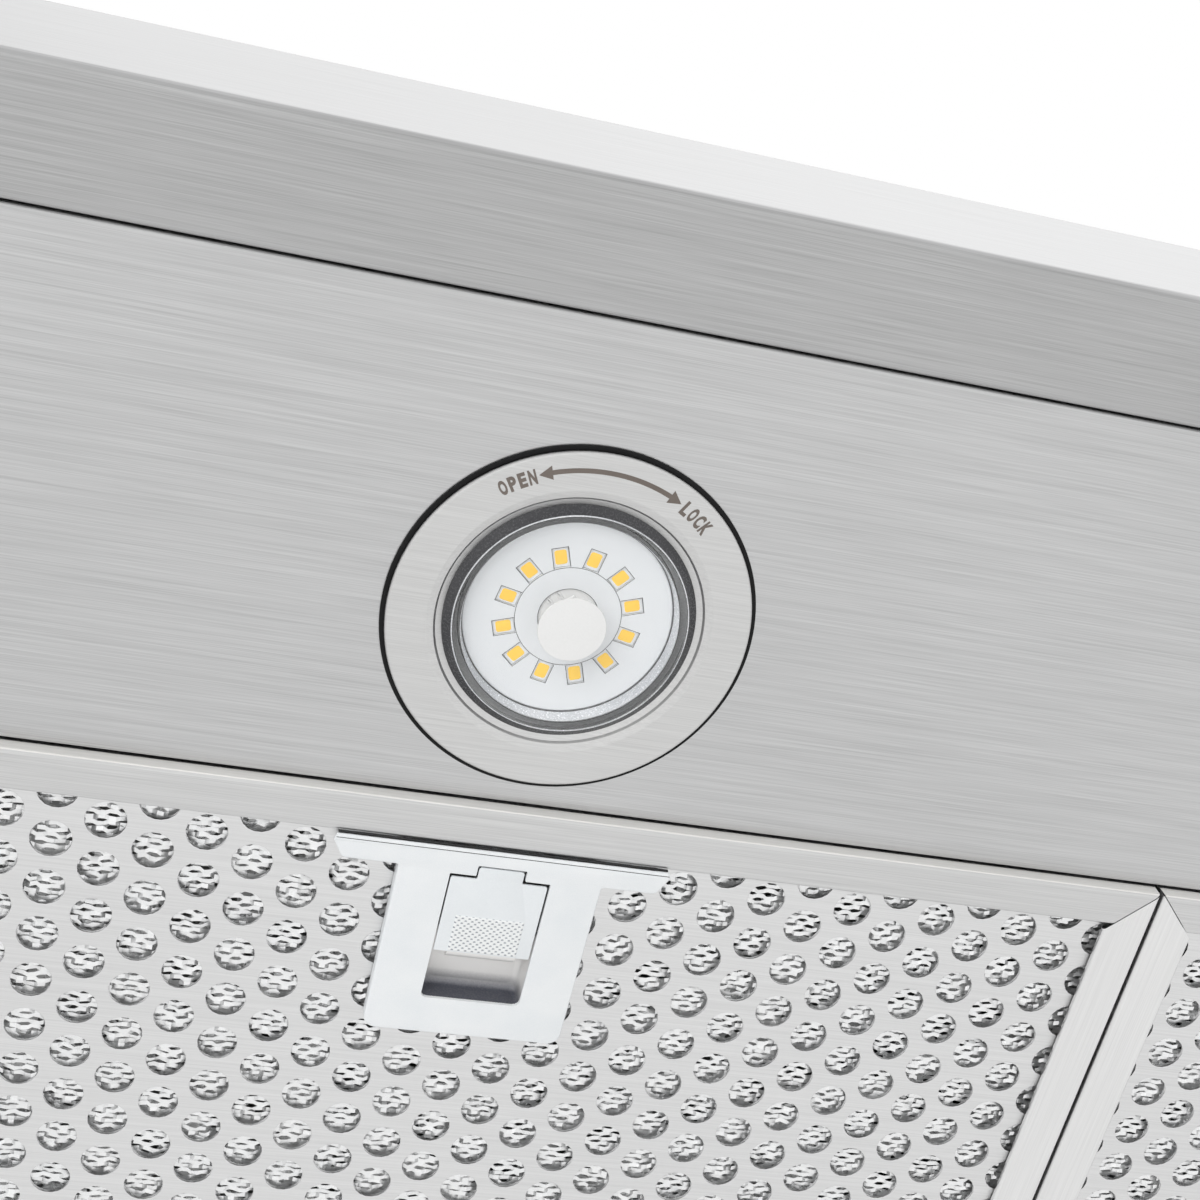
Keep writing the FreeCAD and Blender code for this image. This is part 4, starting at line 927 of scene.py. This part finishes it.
def lensPatch(centre, s):
    # glass: a shallow dome with an upright wall and a flat rim; both faces of the dome are parts of spheres
    t = np.linspace(0, 1, 13)
    outer, inner = s["domeRadius"] * t, s["domeInside"] * t
    outer = np.stack([outer, s["domeTop"] + sphereDrop(outer, s["domeBall"])], -1)
    inner = np.stack([inner, s["domeTop"] + s["domeSkin"] + sphereDrop(inner, s["domeBall"])], -1)
    wall, inside, (low, high) = s["wallRadius"], s["wallInside"], s["rim"]
    corners = [outer[-1], (wall, outer[-1, 1] + s["wallStart"][0]), (wall, low), (s["rimRadius"], low),
               (s["rimRadius"], high), (inside, high), (inside, inner[-1, 1] + s["wallStart"][1]), inner[-1]]
    rim = roundPath(corners, s["lensRounds"], 4, False, 0.1)
    return revolve(np.vstack([outer, rim[1:-1], inner[::-1]]), centre, 96, False)


def sealPatch(centre, s):
    # seal with fine ribs round its inner side, the crests of a cosine
    steps = 8 * s["ribCount"] + 1
    ribs = s["ribRadius"] + s["ribDepth"] * np.cos(np.linspace(0, 2 * math.pi * s["ribCount"], steps))
    inner = np.stack([ribs, np.linspace(*s["ribs"], steps)], -1)
    return revolve(np.vstack([inner, roundPath(s["seal"], s["sealRounds"], 3)]), centre, 96)


def frostPatch(centre, s):
    # frosted round patch on the middle of the dome, following its sphere
    radius = s["frostRadius"] * np.linspace(0, 1, 9)
    lift = s["domeTop"] - s["frostOut"] + sphereDrop(radius, s["domeBall"])
    edge = (s["frostRadius"] + s["frostEdge"][0], lift[-1] + s["frostEdge"][1])
    return revolve(np.vstack([np.stack([radius, lift], -1), [edge]]), centre, 64, False)


def makeLampCover(side, sign, s):
    centre = (sign * s["x"], s["y"])
    cover, name = f"lamp_cover_{side}", side.capitalize()
    meshPiece("lampBezel" + name, bezelPatches(centre, s), bezelSteel, cover, [f"lamp_bezel_{side}"])
    meshPiece("lampLens" + name, [lensPatch(centre, s)], lensGlass, cover, [f"lamp_lens_{side}"])
    # dark collar round the foot of the dome with a thin painted shade ring, a pale ring on its inner edge as
    # a painted highlight, and the pale ground edge inside the glass
    collar = revolve(roundPath(s["collar"], s["collarRounds"], 4, True, 0.08), centre, 128)
    meshPiece("lensCollar" + name, [collar, ringBand(centre, *s["shade"])], sealBlack, cover, ())
    ground = revolve(np.array(s["groundEdge"]), centre, 128)
    line = revolve(roundPath(s["highlightLine"], (s["highlightRound"],) * 4, 3, True, 0.02), centre, 128)
    meshPiece("lensEdge" + name, [ground, line], glassEdge, cover, ())
    meshPiece("lensSeal" + name, [sealPatch(centre, s)], sealGrey, cover, [f"lens_seal_{side}"])
    meshPiece("lensFrost" + name, [frostPatch(centre, s)], frostWhite, cover, ())


for side, sign in lampSides:
    makeLampCover(side, sign, lampSet)


def ledBlock(s, size, z, edge, corner=None):
    # a block on the circle of LEDs before it is turned to its place: length outward, width and two heights
    length, width = size
    near = (s["ledCircle"] - length / 2, -width / 2, z[0])
    far = (s["ledCircle"] + length / 2, width / 2, z[1])
    return softBox(near, far, edge, corner)


def windowShadeEdge(s, z):
    # painted shade line along an LED's window: its outer end and its two sides
    w, wide = s["lineWidth"], s["window"][1] / 2
    end = s["ledCircle"] + s["window"][0] / 2
    edge = [flatRect((end - w / 2, end + w / 2), (-wide - w / 2, wide + w / 2), z)]
    return edge + [flatRect((s["circleRadius"], end), (v - w / 2, v + w / 2), z) for v in (-wide, wide)]


def plugPatches(centre, s):
    # plug in the eye: a white disc with a small connector and two wire ends, turned between the axes
    wires = softBox(*s["connector"], 0.2)
    for v in s["wireY"]:
        wires += softBox((s["wireX"][0], v - s["wireHalf"], s["wireZ"][0]),
                         (s["wireX"][1], v + s["wireHalf"], s["wireZ"][1]), 0.2, 0.3)
    return [revolve(np.array(s["plug"]), centre, 48, False)] + turnAbout(wires, s["wireTurn"], centre)


def makeLampInside(side, sign, s):
    centre = (sign * s["x"], s["y"])
    name = side.capitalize()
    foot, skin, eye, wide = s["reflector"], s["dishSkin"], s["eyeRadius"], s["dishRadius"]
    # white dish with a window for each LED and an eye in the middle
    outline = roundPath([(eye, foot), (wide, foot), (wide, s["dishTop"]), (wide - skin, s["dishTop"]),
                         (wide - skin, foot + skin), (eye, foot + skin)], s["dishRounds"], 3, True, 0.1)
    dish = meshPiece("lampReflector" + name, [revolve(outline, centre, 96)], lampWhite, "hood",
                     [f"lamp_reflector_{side}"])
    window = ledBlock(s, s["window"], (foot - 1, foot + skin + 0.2), 0.1)
    body = ledBlock(s, s["led"], (s["ledFoot"], s["dishTop"]), 0.12)
    glowZ = (s["ledFoot"] - s["phosphorOut"], s["ledFoot"] + s["phosphorIn"])
    glow = ledBlock(s, s["phosphor"], glowZ, 0.06, 0.45)
    lineFoot = foot - s["lineOut"]
    edge = windowShadeEdge(s, lineFoot)
    windows, leds, kinds, lines = [], [], [], []
    for turn in s["firstLed"] + 360 / s["ledCount"] * np.arange(s["ledCount"]):
        windows += turnAbout(window, turn, centre)
        leds += turnAbout(body + glow, turn, centre)
        kinds += [0] * len(body) + [1] * len(glow)
        lines += turnAbout(edge, turn, centre)
    cutAway(dish, windows)
    # painted shade lines round the inner disc and round the eye
    for radius in (s["circleRadius"], eye + s["eyeLine"]):
        lines.append(ringBand(centre, radius, s["lineWidth"], lineFoot))
    meshPiece("ledPackages" + name, leds, [lampWhite, ledYellowGlow], "hood", [f"lamp_leds_{side}"],
              kinds=kinds)
    meshPiece("windowShadeLines" + name, lines, shadeLineGrey, "hood", (), weld=0)
    meshPiece("eyePlug" + name, plugPatches(centre, s), frostWhite, "hood", ())


for side, sign in lampSides:
    makeLampInside(side, sign, lampSet)
print("lamps made")


# lettering on the lamp's ring, at angles about the lamp's axis
letterSet = {
    "base": 29.75, "height": 3.0, "width": 1.5, "curveSteps": 4, "bolder": 0.05,
    "words": (("OPEN", -126.6, 3.5), ("LOCK", -59.6, 3.4)),
    "arrow": (-113.9, -62.2), "circle": 31.35, "line": 0.95, "headLength": 4.7, "headWidth": 2.8, "z": 1.97,
}


def letterPatch(letter, angle, s):
    curve = bpy.data.curves.new(letter, "FONT")
    curve.body = letter
    curve.resolution_u = s["curveSteps"]
    curve.offset = s["bolder"]
    holder = bpy.data.objects.new(letter, curve)
    mesh = holder.to_mesh()
    flat = np.empty(len(mesh.vertices) * 3, np.float32)
    mesh.vertices.foreach_get("co", flat)
    mesh.calc_loop_triangles()
    corners = np.empty(len(mesh.loop_triangles) * 3, np.int32)
    mesh.loop_triangles.foreach_get("vertices", corners)
    holder.to_mesh_clear()
    bpy.data.objects.remove(holder)
    # each letter fills one box; its right runs along the circle and its top points outward
    place = flat.reshape(-1, 3)[:, :2].astype(float)
    place = (place - place.min(0)) / np.ptp(place, 0) * (s["width"], s["height"])
    turn = math.radians(angle)
    outward = np.array([math.cos(turn), math.sin(turn)])
    along = np.array([-outward[1], outward[0]])
    spot = outward * (s["base"] + place[:, 1:]) + along * (place[:, :1] - s["width"] / 2)
    return np.column_stack([spot, np.full(len(spot), s["z"])]), corners.reshape(-1, 3)


def makeLettering(side, sign, lamp, s):
    centre = (sign * lamp["x"], lamp["y"])
    patches = [letterPatch(letter, start + step * k, s) for word, start, step in s["words"]
               for k, letter in enumerate(word)]
    # double arrow: part of a ring with a triangle at each end
    first, last = s["arrow"]
    head, half = s["headLength"], s["headWidth"] / 2
    patches.append(ringBand((0, 0), s["circle"], s["line"], s["z"], first + head, last - head, 24))
    for tip, foot in ((first, first + head), (last, last - head)):
        turn = np.radians([tip, foot, foot])
        reach = s["circle"] + np.array([0, half, -half])
        corners = np.stack([reach * np.cos(turn), reach * np.sin(turn), np.full(3, s["z"])], -1)
        order = (0, 1, 2) if foot > tip else (0, 2, 1)
        patches.append((corners, np.array([order])))
    meshPiece("lampLettering" + side.capitalize(), movePatches(patches, (*centre, 0)), letterInk,
              f"lamp_cover_{side}", (), weld=0)


for side, sign in lampSides:
    makeLettering(side, sign, lampSet, letterSet)
print("lettering made")


def insetLoop(outline, by):
    # every point moved inward at a right angle to the line between its neighbours
    along = np.roll(outline, -1, 0) - np.roll(outline, 1, 0)
    along /= np.linalg.norm(along, axis=1)[:, None]
    return outline + by * np.stack([-along[:, 1], along[:, 0]], -1)


def softPrism(outline, z, edge=0.15, steps=3):
    # an outline carried between two heights, its edges rounded like those of softBox
    t = np.linspace(0, math.pi / 2, steps + 1)
    inset, lift = edge * (1 - np.sin(t)), edge * (1 - np.cos(t))
    insets = np.concatenate([inset, inset[::-1]])
    heights = np.concatenate([z[0] + lift, z[1] - lift[::-1]])
    points = np.stack([np.column_stack([insetLoop(outline, i), np.full(len(outline), h)])
                       for i, h in zip(insets, heights)])
    ring = np.arange(len(outline))
    return [gridPatch(points, wrapCols=True), (points[0], ring[::-1][None]), (points[-1], ring[None])]


def addPatches(piece, patches, kinds):
    # more patches joined to a piece that is already made
    extra = patchMesh("extra", patches, kinds)
    work = bmesh.new()
    work.from_mesh(piece.data)
    work.from_mesh(extra)
    work.to_mesh(piece.data)
    work.free()
    bpy.data.meshes.remove(extra)
    smoothBelow(piece.data, sharpAngle)


# filter latch, in lengths from the front edge of the filter
latchSet = {
    "pitch": filterSet["pitch"], "front": filterSet["front"], "face": -1.39, "skin": 0.79,
    "wallFoot": 0.36, "wallTop": 1.5,
    "bodyHalf": 20.65, "bodyRear": 53.2, "corner": 2.6, "bodyFillet": 0.6, "sheetEdge": 0.35,
    "bar": (8.6, 13.8), "barHalf": 34.1, "barSlant": 2.2, "barNose": (0.5, 1.3),
    "barRounds": (1.6, 0.3, 0.3, 0.3, 0.3, 1.6),
    "hem": (8.35, 8.7), "hemEnd": 0.7, "hemFoot": 0.72, "hemTop": -0.03, "hemEdge": 0.12,
    "grooveShadeLine": (9.2, 9.36), "grooveEnd": 0.4, "grooveOut": 0.006,
    "windowHalf": 10.25, "window": (14.4, 44.5), "neckHalf": 5.0, "neckFront": 12.0,
    "windowRounds": (1.2, 0.25, 0.2, 0.35),
    "cup": (26.7, 44.5), "cupTop": 4.1, "cupFillet": 1.6, "cupCorner": 1.2, "cupShade": (40.5, 44.3),
    "sliderFace": -1.12, "sliderHalf": 9.85, "slider": (15.3, 33.0), "noseHalf": 4.6, "noseFront": 12.55,
    "sliderRounds": (0.3, 0.5, 0.3, 0.6), "sliderEdge": 0.12,
    "knurlHalf": 7.05, "knurl": (24.2, 32.7), "knurlSteps": (127, 77), "knurlEdge": 0.15, "knurlOut": 0.005,
    # a whole number of dimples fits the pitch of the filters, so that every latch gets the same pattern
    "dimple": (filterSet["pitch"] / 206, 1.18), "dimpleDepth": 0.2, "dimpleStart": 0.2, "dimpleShift": -0.1,
    "lipRadius": 2.6, "lipSkin": 0.6, "lipStart": 0.4, "lipTurn": 66,
    "tongueHalf": 7.0, "tongue": (0.15, 17.3), "tongueZ": (4.8, 6.0), "riser": (16.5, 17.3),
}


def tOutline(half, neckHalf, front, shoulder, rear, radii):
    # a rectangle with a narrower nose at its front, anticlockwise from above
    corners = [(-half, rear), (-half, shoulder), (-neckHalf, shoulder), (-neckHalf, front), (neckHalf, front),
               (neckHalf, shoulder), (half, shoulder), (half, rear)]
    end, shoulderRound, inner, nose = radii
    radii = (end, shoulderRound, inner, nose, nose, inner, shoulderRound, end)
    return roundPath(corners, radii, 4, True, 0.08)


def latchSheet(s):
    # a front bar with slanted ends and the body behind it, in one outline
    half, tail, wide, slant = s["bodyHalf"], s["bodyRear"], s["barHalf"], s["barSlant"]
    (front, rear), (noseX, noseY) = s["bar"], s["barNose"]
    bar = [(slant - wide, rear), (-wide, front + noseY), (noseX - wide, front), (wide - noseX, front),
           (wide, front + noseY), (wide - slant, rear)]
    rounds = (s["corner"], s["bodyFillet"]) + s["barRounds"] + (s["bodyFillet"], s["corner"])
    corners = [(-half, tail), (-half, rear)] + bar + [(half, rear), (half, tail)]
    return roundPath(corners, rounds, 5, True, 0.1)


def latchWalls(s):
    # walls folded up along three sides of the body
    half, tail, wall, rear, corner = s["bodyHalf"], s["bodyRear"], s["skin"], s["bar"][1], s["corner"]
    walls = roundPath([(-half, tail), (-half, rear), (wall - half, rear), (wall - half, tail - wall),
                       (half - wall, tail - wall), (half - wall, rear), (half, rear), (half, tail)],
                      (corner, 0, 0, corner - wall, corner - wall, 0, 0, corner), 5, True, 0.1)
    return softPrism(walls, (s["face"] + s["wallFoot"], s["wallTop"]), 0.1)


def fingerCup(s):
    # walls with a round turn to the floor, a quarter circle, inside then outside
    (low, high), top, turn, wall = s["cup"], s["cupTop"], s["cupFillet"], s["skin"]
    half, depth, corner = s["windowHalf"], (high - low) / 2, s["cupCorner"]
    inner = [(half - turn * (1 - math.cos(a)), depth - turn * (1 - math.cos(a)), corner,
              top - turn + turn * math.sin(a)) for a in np.linspace(0, math.pi / 2, 5)]
    rows = [(half, depth, corner, s["face"] + wall - 0.1)] + inner
    cup = loftRect(rows, (0, (low + high) / 2), 5, 0.4, False, True, True)
    rows = [(hx + wall, hy + wall, r + wall, z + (wall if k else 0)) for k, (hx, hy, r, z) in enumerate(rows)]
    return cup + loftRect(rows, (0, (low + high) / 2), 5, 0.4, False, True)


def latchHem(s):
    # hem in front of the bar, and a flat strip beside it for the groove; the plate gives both a near-black
    # painted shade
    wide, end, face = s["barHalf"], s["hemEnd"], s["face"]
    near = (end - wide, s["hem"][0], face + s["hemFoot"])
    far = (wide - end, s["hem"][1], s["hemTop"])
    hem = softBox(near, far, s["hemEdge"])
    end = s["grooveEnd"]
    return hem + [flatRect((end - wide, wide - end), s["grooveShadeLine"], face - s["grooveOut"])]


def makeLatchPlate(s):
    face, back = s["face"], s["face"] + s["skin"]
    place = (-s["pitch"], s["front"], 0)
    sheet = softPrism(latchSheet(s), (face, back), s["sheetEdge"], 4)
    plate = meshPiece("latchPlate1", movePatches(sheet, place), [latchZinc, cupZincPaintedShade, paintedShadeDark], "filter_1",
                      ["latch_plate_1"])
    window = tOutline(s["windowHalf"], s["neckHalf"], s["neckFront"], *s["window"], s["windowRounds"])
    cutAway(plate, movePatches(softPrism(window, (face - 1, back + 0.3), 0.01, 1), place))
    walls, cup, hem = latchWalls(s), fingerCup(s), latchHem(s)
    kinds = [0] * len(walls) + [1] * len(cup) + [2] * len(hem)
    addPatches(plate, movePatches(walls + cup + hem, place), kinds)
    copyAlong(plate, "latchPlate", "filter", "latch_plate", s["pitch"])


def gripPatch(s):
    # a low pad with dimples where the crests of two crossing waves meet
    x = np.linspace(-s["knurlHalf"], s["knurlHalf"], s["knurlSteps"][0])
    y = np.linspace(*s["knurl"], s["knurlSteps"][1])
    across, along = np.meshgrid(x, y, indexing="ij")
    wave = np.cos(across * 2 * math.pi / s["dimple"][0]) * np.cos(along * 2 * math.pi / s["dimple"][1])
    nearEdge = np.minimum(s["knurlHalf"] - np.abs(across), np.minimum(along - y[0], y[-1] - along))
    dimples = 1 - np.clip(wave - s["dimpleStart"], 0, 1)
    lift = s["dimpleDepth"] * dimples * np.clip(nearEdge / s["knurlEdge"], 0, 1)
    return gridPatch(np.stack([across, along, s["sliderFace"] - s["knurlOut"] - lift], -1))


def lipPatches(s):
    # the end of the grip bends up along an arc into the cup
    turn = np.radians(np.linspace(0, s["lipTurn"], 13))[:, None]
    arc = np.hstack([np.sin(turn), -np.cos(turn)])
    hub = np.array([s["slider"][1] - s["lipStart"], s["sliderFace"] + s["lipRadius"]])
    loop = np.vstack([hub + arc * s["lipRadius"], hub + arc[::-1] * (s["lipRadius"] - s["lipSkin"])])
    ends = [np.column_stack([np.full(len(loop), v), loop]) for v in (-s["knurlHalf"], s["knurlHalf"])]
    ring = np.arange(len(loop))
    return [gridPatch(np.stack(ends), wrapCols=True), (ends[0], ring[::-1][None]), (ends[1], ring[None])]


def makeSlider(s):
    back, half = s["face"] + s["skin"], s["tongueHalf"]
    outline = tOutline(s["sliderHalf"], s["noseHalf"], s["noseFront"], *s["slider"], s["sliderRounds"])
    sheet = softPrism(outline, (s["sliderFace"], back), s["sliderEdge"])
    lip = lipPatches(s)
    # riser and tongue behind the plate
    low, high = s["tongueZ"]
    tongue = softBox((-half, s["riser"][0], back - 0.1), (half, s["riser"][1], high), 0.1)
    tongue += softBox((-half, s["tongue"][0], low), (half, s["tongue"][1], high), 0.2)
    patches = movePatches(sheet + [gripPatch(s)] + lip + tongue, (-s["pitch"], s["front"], 0))
    kinds = [0] * len(sheet) + [1] + [2] * len(lip) + [3] * len(tongue)
    slider = meshPiece("latchSlider1", patches, [sliderZinc, gripZincShaded, cupZincPaintedShade, steelAlongX], "latch_1",
                       ["latch_slider_1"], 50, kinds=kinds)
    copyAlong(slider, "latchSlider", "latch", "latch_slider", s["pitch"])


def cupShadeFinish(name, s):
    # galvanised sheet with painted shade that darkens it towards the rear wall of the cup
    material, tree, shader, where = startFinish(name)
    speck = noiseAt(tree, where, (2600, 2600, 2600), detail=2)
    near, far = [(s["front"] + y) * mm for y in s["cupShade"]]
    shade = addUp(tree, spread(tree, axisOf(tree, where, "Y"), 0, 1, near, far), speck, 0.12)
    # painted shade: pale zinc at the front of the cup, near-black at its rear wall
    colour = tint(tree, shade, (0.88, 0.87, 0.86), (0.10, 0.105, 0.13), 0.12, 0.95)
    tree.links.new(colour, shader.inputs["Base Color"])
    tree.links.new(spread(tree, speck, 0.35, 0.5), shader.inputs["Roughness"])
    shader.inputs["Metallic"].default_value = 0.4
    return material


def gripShadeFinish(name, s):
    # pale zinc with painted shade in the dimples of the grip, set a little towards their front
    material, tree, shader, where = startFinish(name)
    front = s["front"] + s["dimpleShift"]
    waves = []
    for axis, pitch, start in (("X", s["dimple"][0], 0), ("Y", s["dimple"][1], front)):
        turn = spread(tree, axisOf(tree, where, axis), 0, 2 * math.pi, start * mm, (start + pitch) * mm)
        turn.node.clamp = False
        waves.append(mathOf(tree, "COSINE", turn))
    both = mathOf(tree, "MULTIPLY", *waves)
    # painted shade: darker where the crests of the two waves meet, in the dimples
    colour = tint(tree, both, (0.93, 0.945, 0.95), (0.34, 0.365, 0.40), 0.1, 0.8)
    tree.links.new(colour, shader.inputs["Base Color"])
    shader.inputs["Roughness"].default_value = 0.48
    return material


latchZinc = plainFinish("latchZinc", (0.85, 0.885, 0.91), (0.955, 0.97, 0.98), (0.42, 0.55), size=700)
sliderZinc = plainFinish("sliderZinc", (0.84, 0.875, 0.90), (0.90, 0.93, 0.95), (0.42, 0.52), size=520)
gripZincShaded = gripShadeFinish("gripZincShaded", latchSet)
# near-black painted shade for the hem's front and the groove line
paintedShadeDark = plainFinish("paintedShadeDark", (0.012, 0.012, 0.013), (0.04, 0.04, 0.042), (0.35, 0.5), metal=0.2)
cupZincPaintedShade = cupShadeFinish("cupZincPaintedShade", latchSet)
makeLatchPlate(latchSet)
makeSlider(latchSet)
print("latches made")


# pieces whose shape comes from the frame get their finishes here
upperSet = {
    "fold": 0.35, "foldAngle": 20, "buttonRing": 0.34,
}


def turnedFinish(name, centre, s):
    # fine rings round the button's own axis
    material, tree, shader, where = startFinish(name)
    mapping = tree.nodes.new("ShaderNodeMapping")
    mapping.inputs["Location"].default_value = [-c * mm for c in centre]
    rings = tree.nodes.new("ShaderNodeTexWave")
    rings.wave_type = "RINGS"
    rings.rings_direction = "Y"
    # a ring repeats every 2 pi / 20 of the texture's own unit
    rings.inputs["Scale"].default_value = 2 * math.pi / 20 / (s["buttonRing"] * mm)
    rings.inputs["Distortion"].default_value = 0.6
    tree.links.new(where, mapping.inputs["Vector"])
    tree.links.new(mapping.outputs["Vector"], rings.inputs["Vector"])
    value = rings.outputs["Fac"]
    colour = tint(tree, value, (0.56, 0.555, 0.545), (0.68, 0.675, 0.665), 0, 1)
    tree.links.new(colour, shader.inputs["Base Color"])
    tree.links.new(spread(tree, value, 0.24, 0.36, 0, 1), shader.inputs["Roughness"])
    bumpBy(tree, shader, value, 0.00001, 0.5)
    shader.inputs["Metallic"].default_value = 1.0
    return material


def boardFinish(name):
    # green lacquer with paler tracks in a broken square pattern
    material, tree, shader, where = startFinish(name)
    mapping = tree.nodes.new("ShaderNodeMapping")
    mapping.inputs["Rotation"].default_value = (math.pi / 2, 0, 0)
    tracks = tree.nodes.new("ShaderNodeTexBrick")
    for socket, colour in (("Color1", (0.012, 0.10, 0.04)), ("Color2", (0.02, 0.13, 0.055)),
                           ("Mortar", (0.05, 0.26, 0.11))):
        tracks.inputs[socket].default_value = (*colour, 1)
    tracks.inputs["Scale"].default_value = 120
    tracks.inputs["Mortar Size"].default_value = 0.06
    tree.links.new(where, mapping.inputs["Vector"])
    tree.links.new(mapping.outputs["Vector"], tracks.inputs["Vector"])
    tree.links.new(tracks.outputs["Color"], shader.inputs["Base Color"])
    tree.links.new(spread(tree, tracks.outputs["Fac"], 0.30, 0.42, 0, 1), shader.inputs["Roughness"])
    bumpBy(tree, shader, tracks.outputs["Fac"], 0.00003, 0.5)
    return material


def softFolds(node, s):
    # sheet edges catch a thin line of light
    weld = node.modifiers.new("joinEdges", "WELD")
    weld.merge_threshold = 0.01 * mm
    fold = node.modifiers.new("softFolds", "BEVEL")
    fold.width = s["fold"] * mm
    fold.segments = 2
    fold.limit_method = "ANGLE"
    fold.angle_limit = math.radians(s["foldAngle"])


canopySteel = brushedFinish("canopySteel", {**steelSet, "sideGrain": (1, 0, 1)})
millSheet = brushedFinish("millSheet", {**steelSet, "across": 1800, "broadAcross": 500, "cloudShare": 0.35,
                                        "dark": (0.48, 0.48, 0.48), "light": (0.58, 0.58, 0.58),
                                        "rough": (0.4, 0.52)})
zincPlate = plainFinish("zincPlate", (0.54, 0.56, 0.58), (0.70, 0.71, 0.72), (0.30, 0.45), metal=1.0)
chromeRing = plainFinish("chromeRing", (0.70, 0.70, 0.71), (0.78, 0.78, 0.79), (0.07, 0.13), metal=1.0,
                         strength=0.1)
blowerPaint = plainFinish("blowerPaint", (0.15, 0.15, 0.16), (0.23, 0.23, 0.24), (0.45, 0.6), depth=0.00006)
motorMetal = plainFinish("motorMetal", (0.26, 0.26, 0.27), (0.40, 0.40, 0.41), (0.36, 0.5), metal=0.9)
canMetal = plainFinish("canMetal", (0.52, 0.52, 0.53), (0.64, 0.64, 0.65), (0.40, 0.55), metal=1.0,
                       depth=0.00004)
blackPlastic = plainFinish("blackPlastic", (0.016, 0.016, 0.017), (0.040, 0.040, 0.041), (0.40, 0.56),
                           size=900, depth=0.00003)
boardGreen = boardFinish("boardGreen")
nodeFinishes = [
    (canopySteel, ["canopy_hood"]),
    (steelAlongZ, ["lower_chimney", "upper_chimney"]),
    (millSheet, ["back_panel", "top_plate", "chimney_bracket"]),
    (zincPlate, ["motor_bracket", "damper_pin", "housing_screws"]),
    (chromeRing, ["button_bezels"]),
    (blowerPaint, ["blower_housing"]),
    (motorMetal, ["blower_motor"]),
    (canMetal, ["lamp_can_left", "lamp_can_right"]),
    (blackPlastic, ["cable_gland", "outlet_collar", "control_box", "impeller", "damper_flap_front",
                    "damper_flap_rear"]),
    (boardGreen, ["control_board"]),
    (lampWhite, ["led_board_left", "led_board_right"]),
    (blackRubber, ["lamp_gasket_left", "lamp_gasket_right"]),
    (filterSteelX, ["filter_back_1", "filter_back_2", "filter_back_3"]),
]
for i, x in enumerate(bandSet["buttonX"], 1):
    turned = turnedFinish(f"buttonSteel{i}", (x, 0, bandSet["buttonRise"]), upperSet)
    nodeFinishes.append((turned, [f"push_button_{i}"]))
for finish, names in nodeFinishes:
    for name in names:
        nodes[name].data.materials.clear()
        nodes[name].data.materials.append(finish)
for name in ("canopy_hood", "lower_chimney", "upper_chimney", "back_panel", "top_plate", "chimney_bracket",
             "control_box"):
    softFolds(nodes[name], upperSet)
print("finishes set on", sum(len(names) for finish, names in nodeFinishes), "frame pieces")
